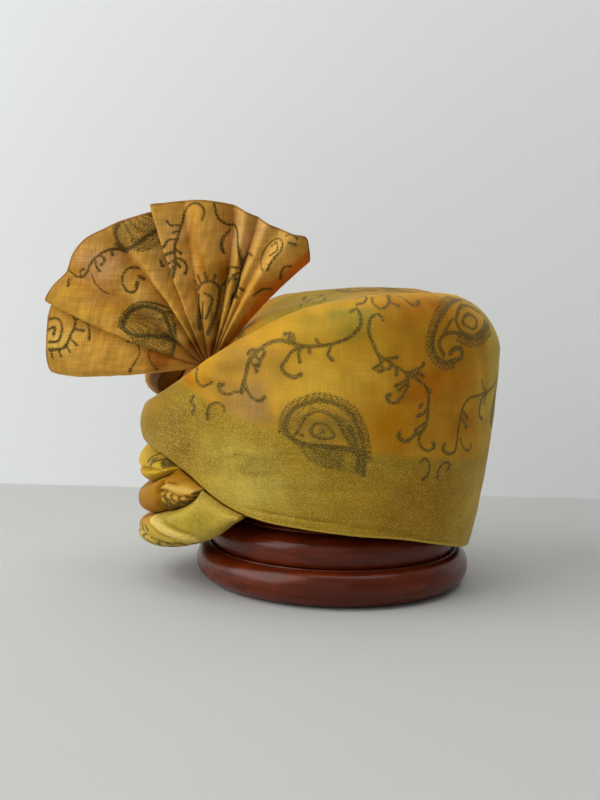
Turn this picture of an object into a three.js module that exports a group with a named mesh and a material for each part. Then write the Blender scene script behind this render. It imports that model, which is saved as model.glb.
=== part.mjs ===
// A tied turban of wound silk on a turned wooden stand, in millimetres, +Z up.
// The origin is the centre of the stand's underside. The wearer faces -X and the wearer's left is -Y.
import * as THREE from 'three';

// Stand: a turned foot of two beads and a neck, and a post with a domed head that carries the crown.
const FOOT_RADIUS = 95.4;
const FOOT_BEAD_HEIGHT = 24.5;
const FOOT_BEAD_DEPTH = 14;
const UPPER_BEAD_RADIUS = 86.5;
const UPPER_BEAD_HEIGHT = 21;
const UPPER_BEAD_DEPTH = 10;
const NECK_RADIUS = 73;
const NECK_HEIGHT = 10;
const POST_RADIUS = 17;
const POST_HEAD_RADIUS = 44;
const POST_HEAD_HEIGHT = 26;
const TURNING_SEGMENTS = 36;
const ARC_STEPS = 6;

// Cloth: one wall, the gap between two layers, and the rounded shoulder between side and top.
const GAP = 0.3;
const LAYER_EASE = 0.6;
const CROWN_WALL = 3;
const FOREHEAD_PADDING = 13;
const BAND_WALL = 2.4;
const SHOULDER_DROP = 18;
const SHOULDER_INSET = 22;
const SHOULDER_ARC = 31.5;
const RIM_TUCK = 2.5;
const CREASE_SHARE = 0.66;
const ROLL_FULLNESS = 0.7;

// Plan of the wound cloth at each height: reach to the front, to the back and to either side.
const PLAN = [
  { height: 15, front: 117, back: 88.5, side: 87 },
  { height: 45, front: 118, back: 95.5, side: 90 },
  { height: 75, front: 118, back: 100.5, side: 92.5 },
  { height: 105, front: 118, back: 104, side: 94.5 },
  { height: 135, front: 116, back: 106.5, side: 96 },
  { height: 165, front: 112, back: 107.5, side: 97 },
  { height: 190, front: 108, back: 107.5, side: 97 },
];

// Height of the crown's top along the head, from forehead to nape.
const CROWN_TOP = [
  { along: -125, height: 134 },
  { along: -105, height: 147 },
  { along: -85, height: 162 },
  { along: -50, height: 183 },
  { along: -25, height: 191 },
  { along: 0, height: 196.5 },
  { along: 40, height: 201 },
  { along: 70, height: 199 },
  { along: 95, height: 190 },
  { along: 112, height: 179 },
];

// Outer winding, by turn from the forehead over the wearer's left, the nape and the right.
// low and high are its edges in millimetres up the cloth, bulge is the roll on the forehead and
// pocket is how far the upper edge stands off the crown.
const BAND = [
  { turn: -44, low: 103, high: 106, bulge: 3, pocket: 0 },
  { turn: -30, low: 99, high: 113, bulge: 9, pocket: 0 },
  { turn: -15, low: 95, high: 119.5, bulge: 13, pocket: 0 },
  { turn: 0, low: 92.5, high: 124, bulge: 15, pocket: 0 },
  { turn: 13, low: 91.5, high: 128, bulge: 14, pocket: 0 },
  { turn: 27, low: 87, high: 136.5, bulge: 8, pocket: 4 },
  { turn: 38, low: 79, high: 146, bulge: 3, pocket: 8.5 },
  { turn: 48, low: 69, high: 160, bulge: 1.5, pocket: 6.5 },
  { turn: 56, low: 62, high: 174, bulge: 1, pocket: 1 },
  { turn: 66, low: 56.5, high: 188, bulge: 1, pocket: 0 },
  { turn: 79, low: 53, high: 204, bulge: 1, pocket: 0 },
  { turn: 95, low: 49.5, high: 213, bulge: 1, pocket: 0 },
  { turn: 115, low: 46, high: 216, bulge: 1, pocket: 0 },
  { turn: 135, low: 39, high: 214, bulge: 1, pocket: 0 },
  { turn: 157, low: 31, high: 207, bulge: 1, pocket: 0 },
  { turn: 180, low: 26.5, high: 201, bulge: 1, pocket: 0 },
  { turn: 203, low: 31, high: 199, bulge: 1, pocket: 0 },
  { turn: 225, low: 39, high: 199, bulge: 1, pocket: 0 },
  { turn: 245, low: 46, high: 199, bulge: 1, pocket: 0 },
  { turn: 265, low: 50, high: 196, bulge: 1, pocket: 0 },
  { turn: 280, low: 56, high: 189, bulge: 1, pocket: 0 },
  { turn: 292, low: 67, high: 181, bulge: 1, pocket: 0 },
  { turn: 302, low: 82, high: 175, bulge: 1.5, pocket: 0 },
  { turn: 312, low: 99, high: 164, bulge: 3, pocket: 0 },
  { turn: 335, low: 110, high: 154, bulge: 10, pocket: 0 },
  { turn: 350, low: 121, high: 148, bulge: 15, pocket: 0 },
  { turn: 362, low: 126, high: 145, bulge: 15, pocket: 0 },
  { turn: 372, low: 128, high: 141, bulge: 8, pocket: 0 },
];
const BAND_STATIONS = [
  { from: -44, to: 80, step: 4 },
  { from: 80, to: 280, step: 8 },
  { from: 280, to: 372, step: 4 },
];
const BAND_WALL_ROWS = 5;
const BAND_SHOULDER_ROWS = 7;
const BAND_LEAST_SHARE = 0.3;
const FULL_TURN = 360;

// Broad folds of the outer winding that spread from its gathered point towards the nape.
// slope is measured from level, and a fold is highest a little way out from the point.
const GATHER_POINT = { turn: 41, climb: 153 };
const GATHER_FOLDS = [
  { slope: 14, height: 1.4 },
  { slope: -18, height: 1.6 },
  { slope: -48, height: 1.4 },
  { slope: -76, height: 1 },
];
const GATHER_FOLD_SPREAD = 10;
const GATHER_FOLD_DISTANCE = 26;
const CLOTH_PER_DEGREE = 1.65;

// Lower edges of the crossed folds on the forehead, by turn. Each fold ends where it meets the one above.
const FOLD_EDGES = [
  { turn: -76, second: 92, third: 84, fourth: 62 },
  { turn: -64, second: 92, third: 80, fourth: 52 },
  { turn: -56, second: 92, third: 71, fourth: 44 },
  { turn: -45, second: 84, third: 60, fourth: 35 },
  { turn: -30, second: 73, third: 49, fourth: 27.5 },
  { turn: -15, second: 66.5, third: 43.5, fourth: 22.5 },
  { turn: 0, second: 65, third: 42.5, fourth: 20.5 },
  { turn: 12, second: 68, third: 46, fourth: 23 },
  { turn: 24, second: 76, third: 52, fourth: 26.5 },
  { turn: 34, second: 83, third: 57.5, fourth: 30.5 },
  { turn: 40, second: 84, third: 63.5, fourth: 34 },
  { turn: 46, second: 84, third: 72.5, fourth: 38 },
  { turn: 52, second: 84, third: 76, fourth: 44.5 },
  { turn: 58, second: 84, third: 76, fourth: 54 },
  { turn: 64, second: 84, third: 76, fourth: 60 },
];
const FOLDS = [
  { name: 'fold_second', level: 1, from: -52, to: 32 },
  { name: 'fold_third', level: 2, from: -60, to: 44 },
  { name: 'fold_fourth', level: 3, from: -72, to: 60 },
];
const FOLD_STEP = 4;
const FOLD_ROWS = 5;
const FOLD_LEAST_HEIGHT = 1.2;
const FOLD_RISE = 15.5;
const FOLD_TIP_RISE = 2.6;
const FOLD_FADE = 84;

// Fan: a row for each crease, from the front edge over the top to the back edge. angle is measured from
// the nape side, reach from the gathered point, and depth is how far the crease stands towards the viewer.
const FAN = [
  { angle: 187, reach: 106, depth: -2 },
  { angle: 180, reach: 107, depth: 3 },
  { angle: 171, reach: 109, depth: 5 },
  { angle: 161, reach: 114.5, depth: -4 },
  { angle: 153, reach: 112.5, depth: 5 },
  { angle: 145, reach: 109.5, depth: -4 },
  { angle: 137, reach: 110.5, depth: 6 },
  { angle: 131, reach: 110.5, depth: 3 },
  { angle: 124, reach: 108.5, depth: -3 },
  { angle: 116, reach: 108, depth: 7 },
  { angle: 111, reach: 103.5, depth: -7 },
  { angle: 105, reach: 107, depth: 3 },
  { angle: 98, reach: 105.5, depth: 4 },
  { angle: 91, reach: 104.5, depth: -4 },
  { angle: 85, reach: 104, depth: 4 },
  { angle: 78, reach: 104.5, depth: -3 },
  { angle: 67, reach: 102, depth: 4 },
  { angle: 53.5, reach: 105, depth: 0 },
  { angle: 47.5, reach: 95, depth: -6 },
];
const FAN_STEPS_PER_CREASE = 2;
const FAN_WALL = 2.4;
const FAN_GATHER = { along: -86.3, across: -67, height: 155.6 };
const FAN_GATHER_WIDTH = 13;
const FAN_GATHER_ANGLE = 112;
const FAN_YAW = 10;
const FAN_THIN_FROM = 0.5;
const FAN_SHARES = [0, 0.15, 0.32, 0.55, 0.78, 1];
const GATHER_THICKNESS = 3.4;
const STEM = [
  { climb: 140, lift: 2.2, thickness: 2.4 },
  { climb: 148, lift: 3.2, thickness: 4 },
];
const STEM_TURN_FRONT = 36;
const STEM_TURN_BACK = 43;

const WOOD = { color: 0x4a160d, roughness: 0.28, metalness: 0 };
const OLIVE_SILK = { color: 0x9a7f16, roughness: 0.6, metalness: 0 };
const PRINTED_SILK = { color: 0xc48a14, roughness: 0.55, metalness: 0 };
const BORDER_SILK = { color: 0xa88c1e, roughness: 0.45, metalness: 0.2 };
const ORANGE_SILK = { color: 0xcf8220, roughness: 0.55, metalness: 0 };

const radians = THREE.MathUtils.degToRad;
const RIGHT_ANGLE = Math.PI / 2;

// A smooth curve through one column of a table.
function column(rows, along, key) {
  const places = rows.map((row) => row[along]);
  const values = rows.map((row) => row[key]);
  const curve = new THREE.CubicInterpolant(places, values, 1);
  return (place) => curve.evaluate(place)[0];
}

const frontReach = column(PLAN, 'height', 'front');
const backReach = column(PLAN, 'height', 'back');
const sideReach = column(PLAN, 'height', 'side');
const crownTop = column(CROWN_TOP, 'along', 'height');
const bandLow = column(BAND, 'turn', 'low');
const bandHigh = column(BAND, 'turn', 'high');
const bandBulge = column(BAND, 'turn', 'bulge');
const bandPocket = column(BAND, 'turn', 'pocket');

// Point of the crown's outer wall in plan, and the direction straight out of it.
function wallPoint(turn, height) {
  const cos = Math.cos(radians(turn));
  const along = cos > 0 ? frontReach(height) : backReach(height);
  return new THREE.Vector2(-along * cos, -sideReach(height) * Math.sin(radians(turn)));
}

function wallOutward(turn, height) {
  const cos = Math.cos(radians(turn));
  const along = cos > 0 ? frontReach(height) : backReach(height);
  return new THREE.Vector2(-cos / along, -Math.sin(radians(turn)) / sideReach(height)).normalize();
}

// Height where the wall starts to round over into the crown's top.
function shoulderHeight(turn) {
  const settlingRounds = 4;
  let height = crownTop(0) - SHOULDER_DROP;
  for (let round = 0; round < settlingRounds; round += 1) {
    height = crownTop(wallPoint(turn, height).x) - SHOULDER_DROP;
  }
  return height;
}

// Point on the wound form: climb runs up the wall, round the shoulder and in over the top.
function clothPoint(turn, climb, lift) {
  const shoulder = shoulderHeight(turn);
  const height = Math.min(climb, shoulder);
  const wall = wallPoint(turn, height);
  const outward = wallOutward(turn, height);
  if (climb <= shoulder) {
    return new THREE.Vector3(wall.x + outward.x * lift, wall.y + outward.y * lift, climb);
  }
  const past = climb - shoulder;
  const bend = RIGHT_ANGLE * Math.min(past / SHOULDER_ARC, 1);
  const inset = SHOULDER_INSET * (1 - Math.cos(bend)) + Math.max(past - SHOULDER_ARC, 0);
  const share = 1 - inset / wall.length();
  const drop = SHOULDER_DROP * (1 - Math.sin(bend));
  const out = lift * Math.cos(bend);
  return new THREE.Vector3(
    wall.x * share + outward.x * out,
    wall.y * share + outward.y * out,
    crownTop(wall.x * share) - drop + lift * Math.sin(bend),
  );
}

// Full climb from the floor's level to the middle of the crown.
function fullClimb(turn) {
  const shoulder = shoulderHeight(turn);
  return shoulder + SHOULDER_ARC + wallPoint(turn, shoulder).length() - SHOULDER_INSET;
}

function piece(name, geometry, finish) {
  const mesh = new THREE.Mesh(geometry, new THREE.MeshStandardMaterial(finish));
  mesh.name = name;
  return mesh;
}

function surface(points, triangles) {
  const geometry = new THREE.BufferGeometry().setFromPoints(points);
  geometry.setIndex(triangles);
  return geometry;
}

function quad(triangles, a, b, c, d) {
  triangles.push(a, b, c, a, c, d);
}

// Closed wall between an outer and an inner grid of points, each a list of columns.
function wallSolid(outer, inner) {
  const columns = outer.length;
  const rows = outer[0].length;
  const points = [...outer.flat(), ...inner.flat()];
  const triangles = [];
  const out = (i, j) => i * rows + j;
  const into = (i, j) => columns * rows + i * rows + j;
  for (let i = 0; i + 1 < columns; i += 1) {
    for (let j = 0; j + 1 < rows; j += 1) {
      quad(triangles, out(i, j), out(i + 1, j), out(i + 1, j + 1), out(i, j + 1));
      quad(triangles, into(i, j), into(i, j + 1), into(i + 1, j + 1), into(i + 1, j));
    }
    quad(triangles, out(i, 0), into(i, 0), into(i + 1, 0), out(i + 1, 0));
    quad(triangles, out(i, rows - 1), out(i + 1, rows - 1), into(i + 1, rows - 1), into(i, rows - 1));
  }
  const last = columns - 1;
  for (let j = 0; j + 1 < rows; j += 1) {
    quad(triangles, out(0, j), out(0, j + 1), into(0, j + 1), into(0, j));
    quad(triangles, out(last, j), into(last, j), into(last, j + 1), out(last, j + 1));
  }
  return surface(points, triangles);
}

// Height of a rolled section across its width, from crease to crease.
function roll(across) {
  const fullness = Math.max(Math.sin(Math.PI * across), 0) ** ROLL_FULLNESS;
  return CREASE_SHARE + (1 - CREASE_SHARE) * fullness;
}

// A quarter or half round in a turned profile, from one angle to another about its centre.
function turnedArc(radius, height, across, up, fromAngle, toAngle) {
  return Array.from({ length: ARC_STEPS + 1 }, (_, step) => {
    const angle = radians(THREE.MathUtils.lerp(fromAngle, toAngle, step / ARC_STEPS));
    return new THREE.Vector2(radius + across * Math.cos(angle), height + up * Math.sin(angle));
  });
}

function bead(radius, depth, bottom, height) {
  return turnedArc(radius - depth, bottom + height / 2, depth, height / 2, -90, 90);
}

const standTop = FOOT_BEAD_HEIGHT + UPPER_BEAD_HEIGHT + NECK_HEIGHT;

function standBase() {
  const profile = [
    new THREE.Vector2(0, 0),
    ...bead(FOOT_RADIUS, FOOT_BEAD_DEPTH, 0, FOOT_BEAD_HEIGHT),
    ...bead(UPPER_BEAD_RADIUS, UPPER_BEAD_DEPTH, FOOT_BEAD_HEIGHT, UPPER_BEAD_HEIGHT),
    new THREE.Vector2(NECK_RADIUS, standTop - NECK_HEIGHT),
    new THREE.Vector2(NECK_RADIUS, standTop),
    new THREE.Vector2(0, standTop),
  ];
  return piece('stand_base', turned(profile), WOOD);
}

// A turned solid about the +Z axis from a profile of radius and height.
function turned(profile) {
  return new THREE.LatheGeometry(profile, TURNING_SEGMENTS).rotateX(RIGHT_ANGLE);
}

// The post is as tall as it can be with its dome one gap under the crown.
function standPost() {
  const dome = turnedArc(0, 0, POST_HEAD_RADIUS, POST_HEAD_HEIGHT, 0, 90);
  const lowestRoom = dome.flatMap((point) => {
    const sides = [-1, 1];
    return sides.map((side) => crownTop(side * point.x) - CROWN_WALL - point.y);
  });
  const domeFoot = Math.min(...lowestRoom) - LAYER_EASE;
  const profile = [
    new THREE.Vector2(0, standTop + GAP),
    new THREE.Vector2(POST_RADIUS, standTop + GAP),
    new THREE.Vector2(POST_RADIUS, domeFoot - POST_HEAD_HEIGHT),
    ...dome.map((point) => new THREE.Vector2(point.x, point.y + domeFoot)),
  ];
  profile.at(-1).x = 0;
  return piece('stand_post', turned(profile), WOOD);
}

// Turn counted on the outer winding's own scale, where the right-hand part lies past the nape.
function lowestEdge(turn) {
  const leftTip = BAND_STATIONS[0].from;
  return turn < leftTip ? bandLow(turn + FULL_TURN) : bandLow(turn);
}

const foldEdges = ['second', 'third', 'fourth'].map((key) => column(FOLD_EDGES, 'turn', key));

// Lower edge of the cloth at a level on the forehead: 0 is the outer winding, then one level for each fold.
function edgeAtLevel(level, turn) {
  if (level === 0) {
    return lowestEdge(turn);
  }
  const { from, to } = FOLDS[level - 1];
  if (turn < from || turn > to) {
    return edgeAtLevel(level - 1, turn);
  }
  const roof = edgeAtLevel(level - 1, turn) - GAP;
  return Math.min(foldEdges[level - 1](turn), roof - FOLD_LEAST_HEIGHT);
}

// The crown's rim follows the lowest cloth outside it, a little higher so that it stays hidden.
function rimHeight(turn) {
  const signed = turn > FULL_TURN / 2 ? turn - FULL_TURN : turn;
  const firstTurn = FOLD_EDGES[0].turn;
  const lastTurn = FOLD_EDGES.at(-1).turn;
  const underFolds = signed > firstTurn && signed < lastTurn;
  const edge = underFolds ? edgeAtLevel(FOLDS.length, signed) : bandLow(turn);
  return edge + RIM_TUCK;
}

// Closed-top inner winding: rings up the wall, round the shoulder and over the top to one middle point.
function crownWrap() {
  const columns = 40;
  const wallShares = [0, 0.2, 0.4, 0.6, 0.8, 1];
  const shoulderShares = [0.25, 0.5, 0.75, 1];
  const topShares = [0.2, 0.4, 0.6, 0.8];
  const rings = wallShares.length + shoulderShares.length + topShares.length;
  const points = [];
  const triangles = [];
  const index = (side, i, k) => (side * columns + (i % columns)) * rings + k;
  for (const side of [0, 1]) {
    for (let i = 0; i < columns; i += 1) {
      const turn = (FULL_TURN * i) / columns;
      const rim = rimHeight(turn);
      const shoulder = shoulderHeight(turn);
      const flat = fullClimb(turn) - shoulder - SHOULDER_ARC;
      const padding = FOREHEAD_PADDING * Math.max(Math.cos(radians(turn)), 0) ** 2;
      const inwards = (fade) => -side * (CROWN_WALL + padding * (1 - fade));
      wallShares.forEach((share) => {
        points.push(clothPoint(turn, THREE.MathUtils.lerp(rim, shoulder, share), inwards(0)));
      });
      shoulderShares.forEach((share) => {
        points.push(clothPoint(turn, shoulder + SHOULDER_ARC * share, inwards(share)));
      });
      topShares.forEach((share) => {
        points.push(clothPoint(turn, shoulder + SHOULDER_ARC + flat * share, inwards(1)));
      });
    }
  }
  const outerMiddle = points.length;
  points.push(new THREE.Vector3(0, 0, crownTop(0)));
  points.push(new THREE.Vector3(0, 0, crownTop(0) - CROWN_WALL));
  for (let i = 0; i < columns; i += 1) {
    for (let k = 0; k + 1 < rings; k += 1) {
      quad(triangles, index(0, i, k), index(0, i + 1, k), index(0, i + 1, k + 1), index(0, i, k + 1));
      quad(triangles, index(1, i, k), index(1, i, k + 1), index(1, i + 1, k + 1), index(1, i + 1, k));
    }
    quad(triangles, index(0, i, 0), index(1, i, 0), index(1, i + 1, 0), index(0, i + 1, 0));
    triangles.push(index(0, i, rings - 1), index(0, i + 1, rings - 1), outerMiddle);
    triangles.push(index(1, i + 1, rings - 1), index(1, i, rings - 1), outerMiddle + 1);
  }
  return piece('crown_wrap', surface(points, triangles), OLIVE_SILK);
}

function stations(spans) {
  const turns = spans.flatMap(({ from, to, step }) => {
    const count = Math.round((to - from) / step);
    return Array.from({ length: count }, (_, k) => from + k * step);
  });
  return [...turns, spans.at(-1).to];
}

// Rows of the outer winding between two edges, closer together where it bends over the shoulder.
function bandRows(turn, low, high) {
  const lowest = THREE.MathUtils.lerp(low, high, BAND_LEAST_SHARE);
  const highest = THREE.MathUtils.lerp(high, low, BAND_LEAST_SHARE);
  const bend = THREE.MathUtils.clamp(shoulderHeight(turn), lowest, highest);
  const wallRow = (_, k) => THREE.MathUtils.lerp(low, bend, k / BAND_WALL_ROWS);
  const bentRow = (_, k) => THREE.MathUtils.lerp(bend, high, k / BAND_SHOULDER_ROWS);
  return [
    ...Array.from({ length: BAND_WALL_ROWS }, wallRow),
    ...Array.from({ length: BAND_SHOULDER_ROWS + 1 }, bentRow),
  ];
}

function gatherRise(turn, climb) {
  const along = (turn - GATHER_POINT.turn) * CLOTH_PER_DEGREE;
  const up = climb - GATHER_POINT.climb;
  const slope = THREE.MathUtils.radToDeg(Math.atan2(up, along));
  const distance = Math.hypot(along, up) / GATHER_FOLD_DISTANCE;
  const fade = distance * Math.exp(1 - distance);
  const heights = GATHER_FOLDS.map((fold) => {
    return fold.height * Math.exp(-(((slope - fold.slope) / GATHER_FOLD_SPREAD) ** 2));
  });
  return fade * heights.reduce((sum, height) => sum + height);
}

// Outer winding: its right-hand end lies on the forehead just above its left-hand end.
function outerWrap() {
  const outer = [];
  const inner = [];
  for (const turn of stations(BAND_STATIONS)) {
    const aboveLeftEnd = turn - FULL_TURN >= BAND_STATIONS[0].from;
    const low = aboveLeftEnd ? bandHigh(turn - FULL_TURN) + GAP : bandLow(turn);
    const high = bandHigh(turn);
    const rows = bandRows(turn, low, high);
    const share = (climb) => (climb - low) / (high - low);
    const base = (climb) => LAYER_EASE + bandPocket(turn) * share(climb) ** 2;
    const swell = (climb) => bandBulge(turn) * roll(share(climb)) + gatherRise(turn, climb);
    const rise = (climb) => base(climb) + BAND_WALL + swell(climb);
    outer.push(rows.map((climb) => clothPoint(turn, climb, rise(climb))));
    inner.push(rows.map((climb) => clothPoint(turn, climb, base(climb))));
  }
  return piece('outer_wrap', wallSolid(outer, inner), PRINTED_SILK);
}

// One crossed fold: a rolled strip on the forehead between its own edge and the edge above it.
function frontFold({ name, level, from, to }) {
  const outer = [];
  const inner = [];
  for (const turn of stations([{ from, to, step: FOLD_STEP }])) {
    const low = edgeAtLevel(level, turn);
    const high = edgeAtLevel(level - 1, turn) - GAP;
    const swell = Math.max(Math.cos((RIGHT_ANGLE * turn) / FOLD_FADE), 0);
    const shares = Array.from({ length: FOLD_ROWS + 1 }, (_, k) => k / FOLD_ROWS);
    const climb = (share) => THREE.MathUtils.lerp(low, high, share);
    const rise = (share) => LAYER_EASE + FOLD_TIP_RISE + FOLD_RISE * swell * roll(share);
    outer.push(shares.map((share) => clothPoint(turn, climb(share), rise(share))));
    inner.push(shares.map((share) => clothPoint(turn, climb(share), LAYER_EASE)));
  }
  return piece(name, wallSolid(outer, inner), BORDER_SILK);
}

// Pleated fan: each crease runs from the stem in the band's pocket through the gathered point to the rim.
function fan() {
  const outer = [];
  const inner = [];
  const creaseAngle = column(FAN.map((row, k) => ({ ...row, k })), 'k', 'angle');
  const creaseReach = column(FAN.map((row, k) => ({ ...row, k })), 'k', 'reach');
  const creaseDepth = column(FAN.map((row, k) => ({ ...row, k })), 'k', 'depth');
  const gather = new THREE.Vector3(FAN_GATHER.along, FAN_GATHER.across, FAN_GATHER.height);
  const alongPlane = new THREE.Vector3(Math.cos(radians(FAN_YAW)), -Math.sin(radians(FAN_YAW)), 0);
  const towardsViewer = new THREE.Vector3(-Math.sin(radians(FAN_YAW)), -Math.cos(radians(FAN_YAW)), 0);
  const inPlane = (right, up) => alongPlane.clone().multiplyScalar(right).setZ(up);
  const steps = (FAN.length - 1) * FAN_STEPS_PER_CREASE;
  for (let step = 0; step <= steps; step += 1) {
    const crease = step / FAN_STEPS_PER_CREASE;
    const share = step / steps;
    const across = (share - 0.5) * FAN_GATHER_WIDTH;
    const angle = radians(creaseAngle(crease));
    const bundle = radians(FAN_GATHER_ANGLE) - RIGHT_ANGLE;
    const root = inPlane(across * Math.cos(bundle), across * Math.sin(bundle)).add(gather);
    const reach = creaseReach(crease);
    const tip = inPlane(reach * Math.cos(angle), reach * Math.sin(angle)).add(gather);
    tip.addScaledVector(towardsViewer, creaseDepth(crease));
    const turn = THREE.MathUtils.lerp(STEM_TURN_FRONT, STEM_TURN_BACK, share);
    const stem = (side) => STEM.map(({ climb, lift, thickness }) => {
      return clothPoint(turn, climb, lift + (side * thickness) / 2);
    });
    const blade = (side) => FAN_SHARES.map((out) => {
      const thickness = THREE.MathUtils.lerp(GATHER_THICKNESS, FAN_WALL, Math.min(out / FAN_THIN_FROM, 1));
      return root.clone().lerp(tip, out).addScaledVector(towardsViewer, (side * thickness) / 2);
    });
    outer.push([...stem(1), ...blade(1)]);
    inner.push([...stem(-1), ...blade(-1)]);
  }
  return piece('fan', wallSolid(outer, inner), ORANGE_SILK);
}

const turban = new THREE.Group();
turban.add(standBase(), standPost(), crownWrap(), outerWrap(), ...FOLDS.map(frontFold), fan());

export default turban;
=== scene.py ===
import math

import bpy
import numpy as np
from mathutils import Matrix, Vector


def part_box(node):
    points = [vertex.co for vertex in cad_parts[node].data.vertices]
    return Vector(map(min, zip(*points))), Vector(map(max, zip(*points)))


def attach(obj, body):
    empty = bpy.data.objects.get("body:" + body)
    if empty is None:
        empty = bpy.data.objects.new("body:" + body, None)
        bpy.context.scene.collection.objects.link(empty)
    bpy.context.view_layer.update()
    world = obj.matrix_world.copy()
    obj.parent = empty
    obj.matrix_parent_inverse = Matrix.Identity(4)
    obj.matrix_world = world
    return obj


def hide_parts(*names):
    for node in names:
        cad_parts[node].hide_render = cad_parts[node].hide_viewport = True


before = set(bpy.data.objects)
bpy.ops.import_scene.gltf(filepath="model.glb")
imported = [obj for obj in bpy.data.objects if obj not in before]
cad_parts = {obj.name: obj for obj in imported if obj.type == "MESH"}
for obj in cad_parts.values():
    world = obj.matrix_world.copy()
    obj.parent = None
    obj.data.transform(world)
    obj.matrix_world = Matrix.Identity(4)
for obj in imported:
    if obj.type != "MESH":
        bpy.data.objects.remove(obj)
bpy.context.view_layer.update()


# Turned foot: two half-round beads under a short neck, turned on a lathe from one block of hardwood,
# stained red-brown and lacquered. It stands flat on its underside. Sizes are in millimetres.
MM = 0.001
FOOT_RADIUS = 95.4
FOOT_BEAD_HEIGHT = 24.5
FOOT_BEAD_DEPTH = 14
UPPER_BEAD_RADIUS = 86.5
UPPER_BEAD_HEIGHT = 21
UPPER_BEAD_DEPTH = 10
NECK_RADIUS = 73
NECK_HEIGHT = 10
NECK_CHAMFER = 1
RING_HEIGHT = 3
RING_DEPTH = 2.4
FOOT_BEAD_TOP_DEPTH = 8.6
FOOT_LIP_ROUND = 0.8
FOOT_LIP_STEPS = 7
UPPER_BEAD_FOOT_DEPTH = 3.5
GROOVE_WIDTH = 1.0
GROOVE_DEPTH = 1.3
BEAD_STEPS = 16
LATHE_STEPS = 160
SHARP_EDGE = math.radians(40)
WELD_DISTANCE = 0.01 * MM
STAIN_DARK = (76, 24, 5)
STAIN_LIGHT = (110, 40, 8)
STAIN_CLOUD = (78, 22, 5)
GRAIN_SCALE = (14, 90, 160)


def half_round(radius, foot_depth, top_depth, bottom, height):
    """Profile of a bead from its foot up to its top, with its own depth at either end."""
    angles = np.linspace(-math.pi / 2, math.pi / 2, BEAD_STEPS + 1)
    depths = [foot_depth if a < 0 else top_depth for a in angles]
    return [
        (radius - depth * (1 - math.cos(a)), bottom + height / 2 * (1 + math.sin(a)))
        for a, depth in zip(angles, depths)
    ]


def turn_on_lathe(name, profile):
    """A turned solid from a profile of radius and height that starts and ends on the axis."""
    bpy.ops.object.select_all(action="DESELECT")
    bpy.ops.mesh.primitive_plane_add(size=MM, location=(0, 0, 0))
    turned = bpy.context.object
    turned.name = turned.data.name = name
    bpy.ops.object.mode_set(mode="EDIT")
    bpy.ops.mesh.select_all(action="SELECT")
    bpy.ops.mesh.merge(type="CENTER")
    bpy.ops.transform.translate(value=(profile[0][0] * MM, 0, profile[0][1] * MM))
    for (radius, height), (next_radius, next_height) in zip(profile, profile[1:]):
        step = ((next_radius - radius) * MM, 0, (next_height - height) * MM)
        bpy.ops.mesh.extrude_vertices_move(TRANSFORM_OT_translate={"value": step})
    bpy.ops.mesh.select_all(action="SELECT")
    bpy.ops.mesh.spin(steps=LATHE_STEPS, angle=math.tau, center=(0, 0, 0), axis=(0, 0, 1))
    bpy.ops.mesh.select_all(action="SELECT")
    bpy.ops.mesh.remove_doubles(threshold=WELD_DISTANCE)
    bpy.ops.mesh.normals_make_consistent(inside=False)
    bpy.ops.object.mode_set(mode="OBJECT")
    bpy.ops.object.shade_smooth_by_angle(angle=SHARP_EDGE)
    return turned


def linear(red, green, blue):
    """Colour from 0 to 255 as it looks on a screen, as the linear colour that shaders use."""
    channels = [c / 255 for c in (red, green, blue)]
    return [c / 12.92 if c <= 0.04045 else ((c + 0.055) / 1.055) ** 2.4 for c in channels] + [1.0]


def add_node(tree, kind, values=None, feeds=None, **settings):
    made = tree.nodes.new(kind)
    for name, value in settings.items():
        setattr(made, name, value)
    for socket, value in (values or {}).items():
        made.inputs[socket].default_value = value
    for socket, source in (feeds or {}).items():
        tree.links.new(source, made.inputs[socket])
    return made


def fill_socket(tree, socket, content):
    if isinstance(content, bpy.types.NodeSocket):
        tree.links.new(content, socket)
    else:
        socket.default_value = content


def sum_up(tree, operation, first, second=0.0, clamp=False):
    made = add_node(tree, "ShaderNodeMath", operation=operation, use_clamp=clamp)
    fill_socket(tree, made.inputs[0], first)
    fill_socket(tree, made.inputs[1], second)
    return made.outputs[0]


def blend_colours(tree, share, first, second):
    made = add_node(tree, "ShaderNodeMix", data_type="RGBA", blend_type="MIX")
    for index, content in ((0, share), (6, first), (7, second)):
        fill_socket(tree, made.inputs[index], content)
    return made.outputs[2]


def fit_range(tree, value, from_low, from_high, to_low=0.0, to_high=1.0):
    made = add_node(tree, "ShaderNodeMapRange", interpolation_type="SMOOTHSTEP")
    for index, content in enumerate((value, from_low, from_high, to_low, to_high)):
        fill_socket(tree, made.inputs[index], content)
    return made.outputs[0]


def noise(tree, place, scale, detail, **more):
    values = {"Scale": scale, "Detail": detail, **more}
    return add_node(tree, "ShaderNodeTexNoise", values, {"Vector": place}).outputs["Fac"]


def new_material(name):
    material = bpy.data.materials.new(name)
    material.use_nodes = True
    return material, material.node_tree, material.node_tree.nodes["Principled BSDF"]


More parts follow.
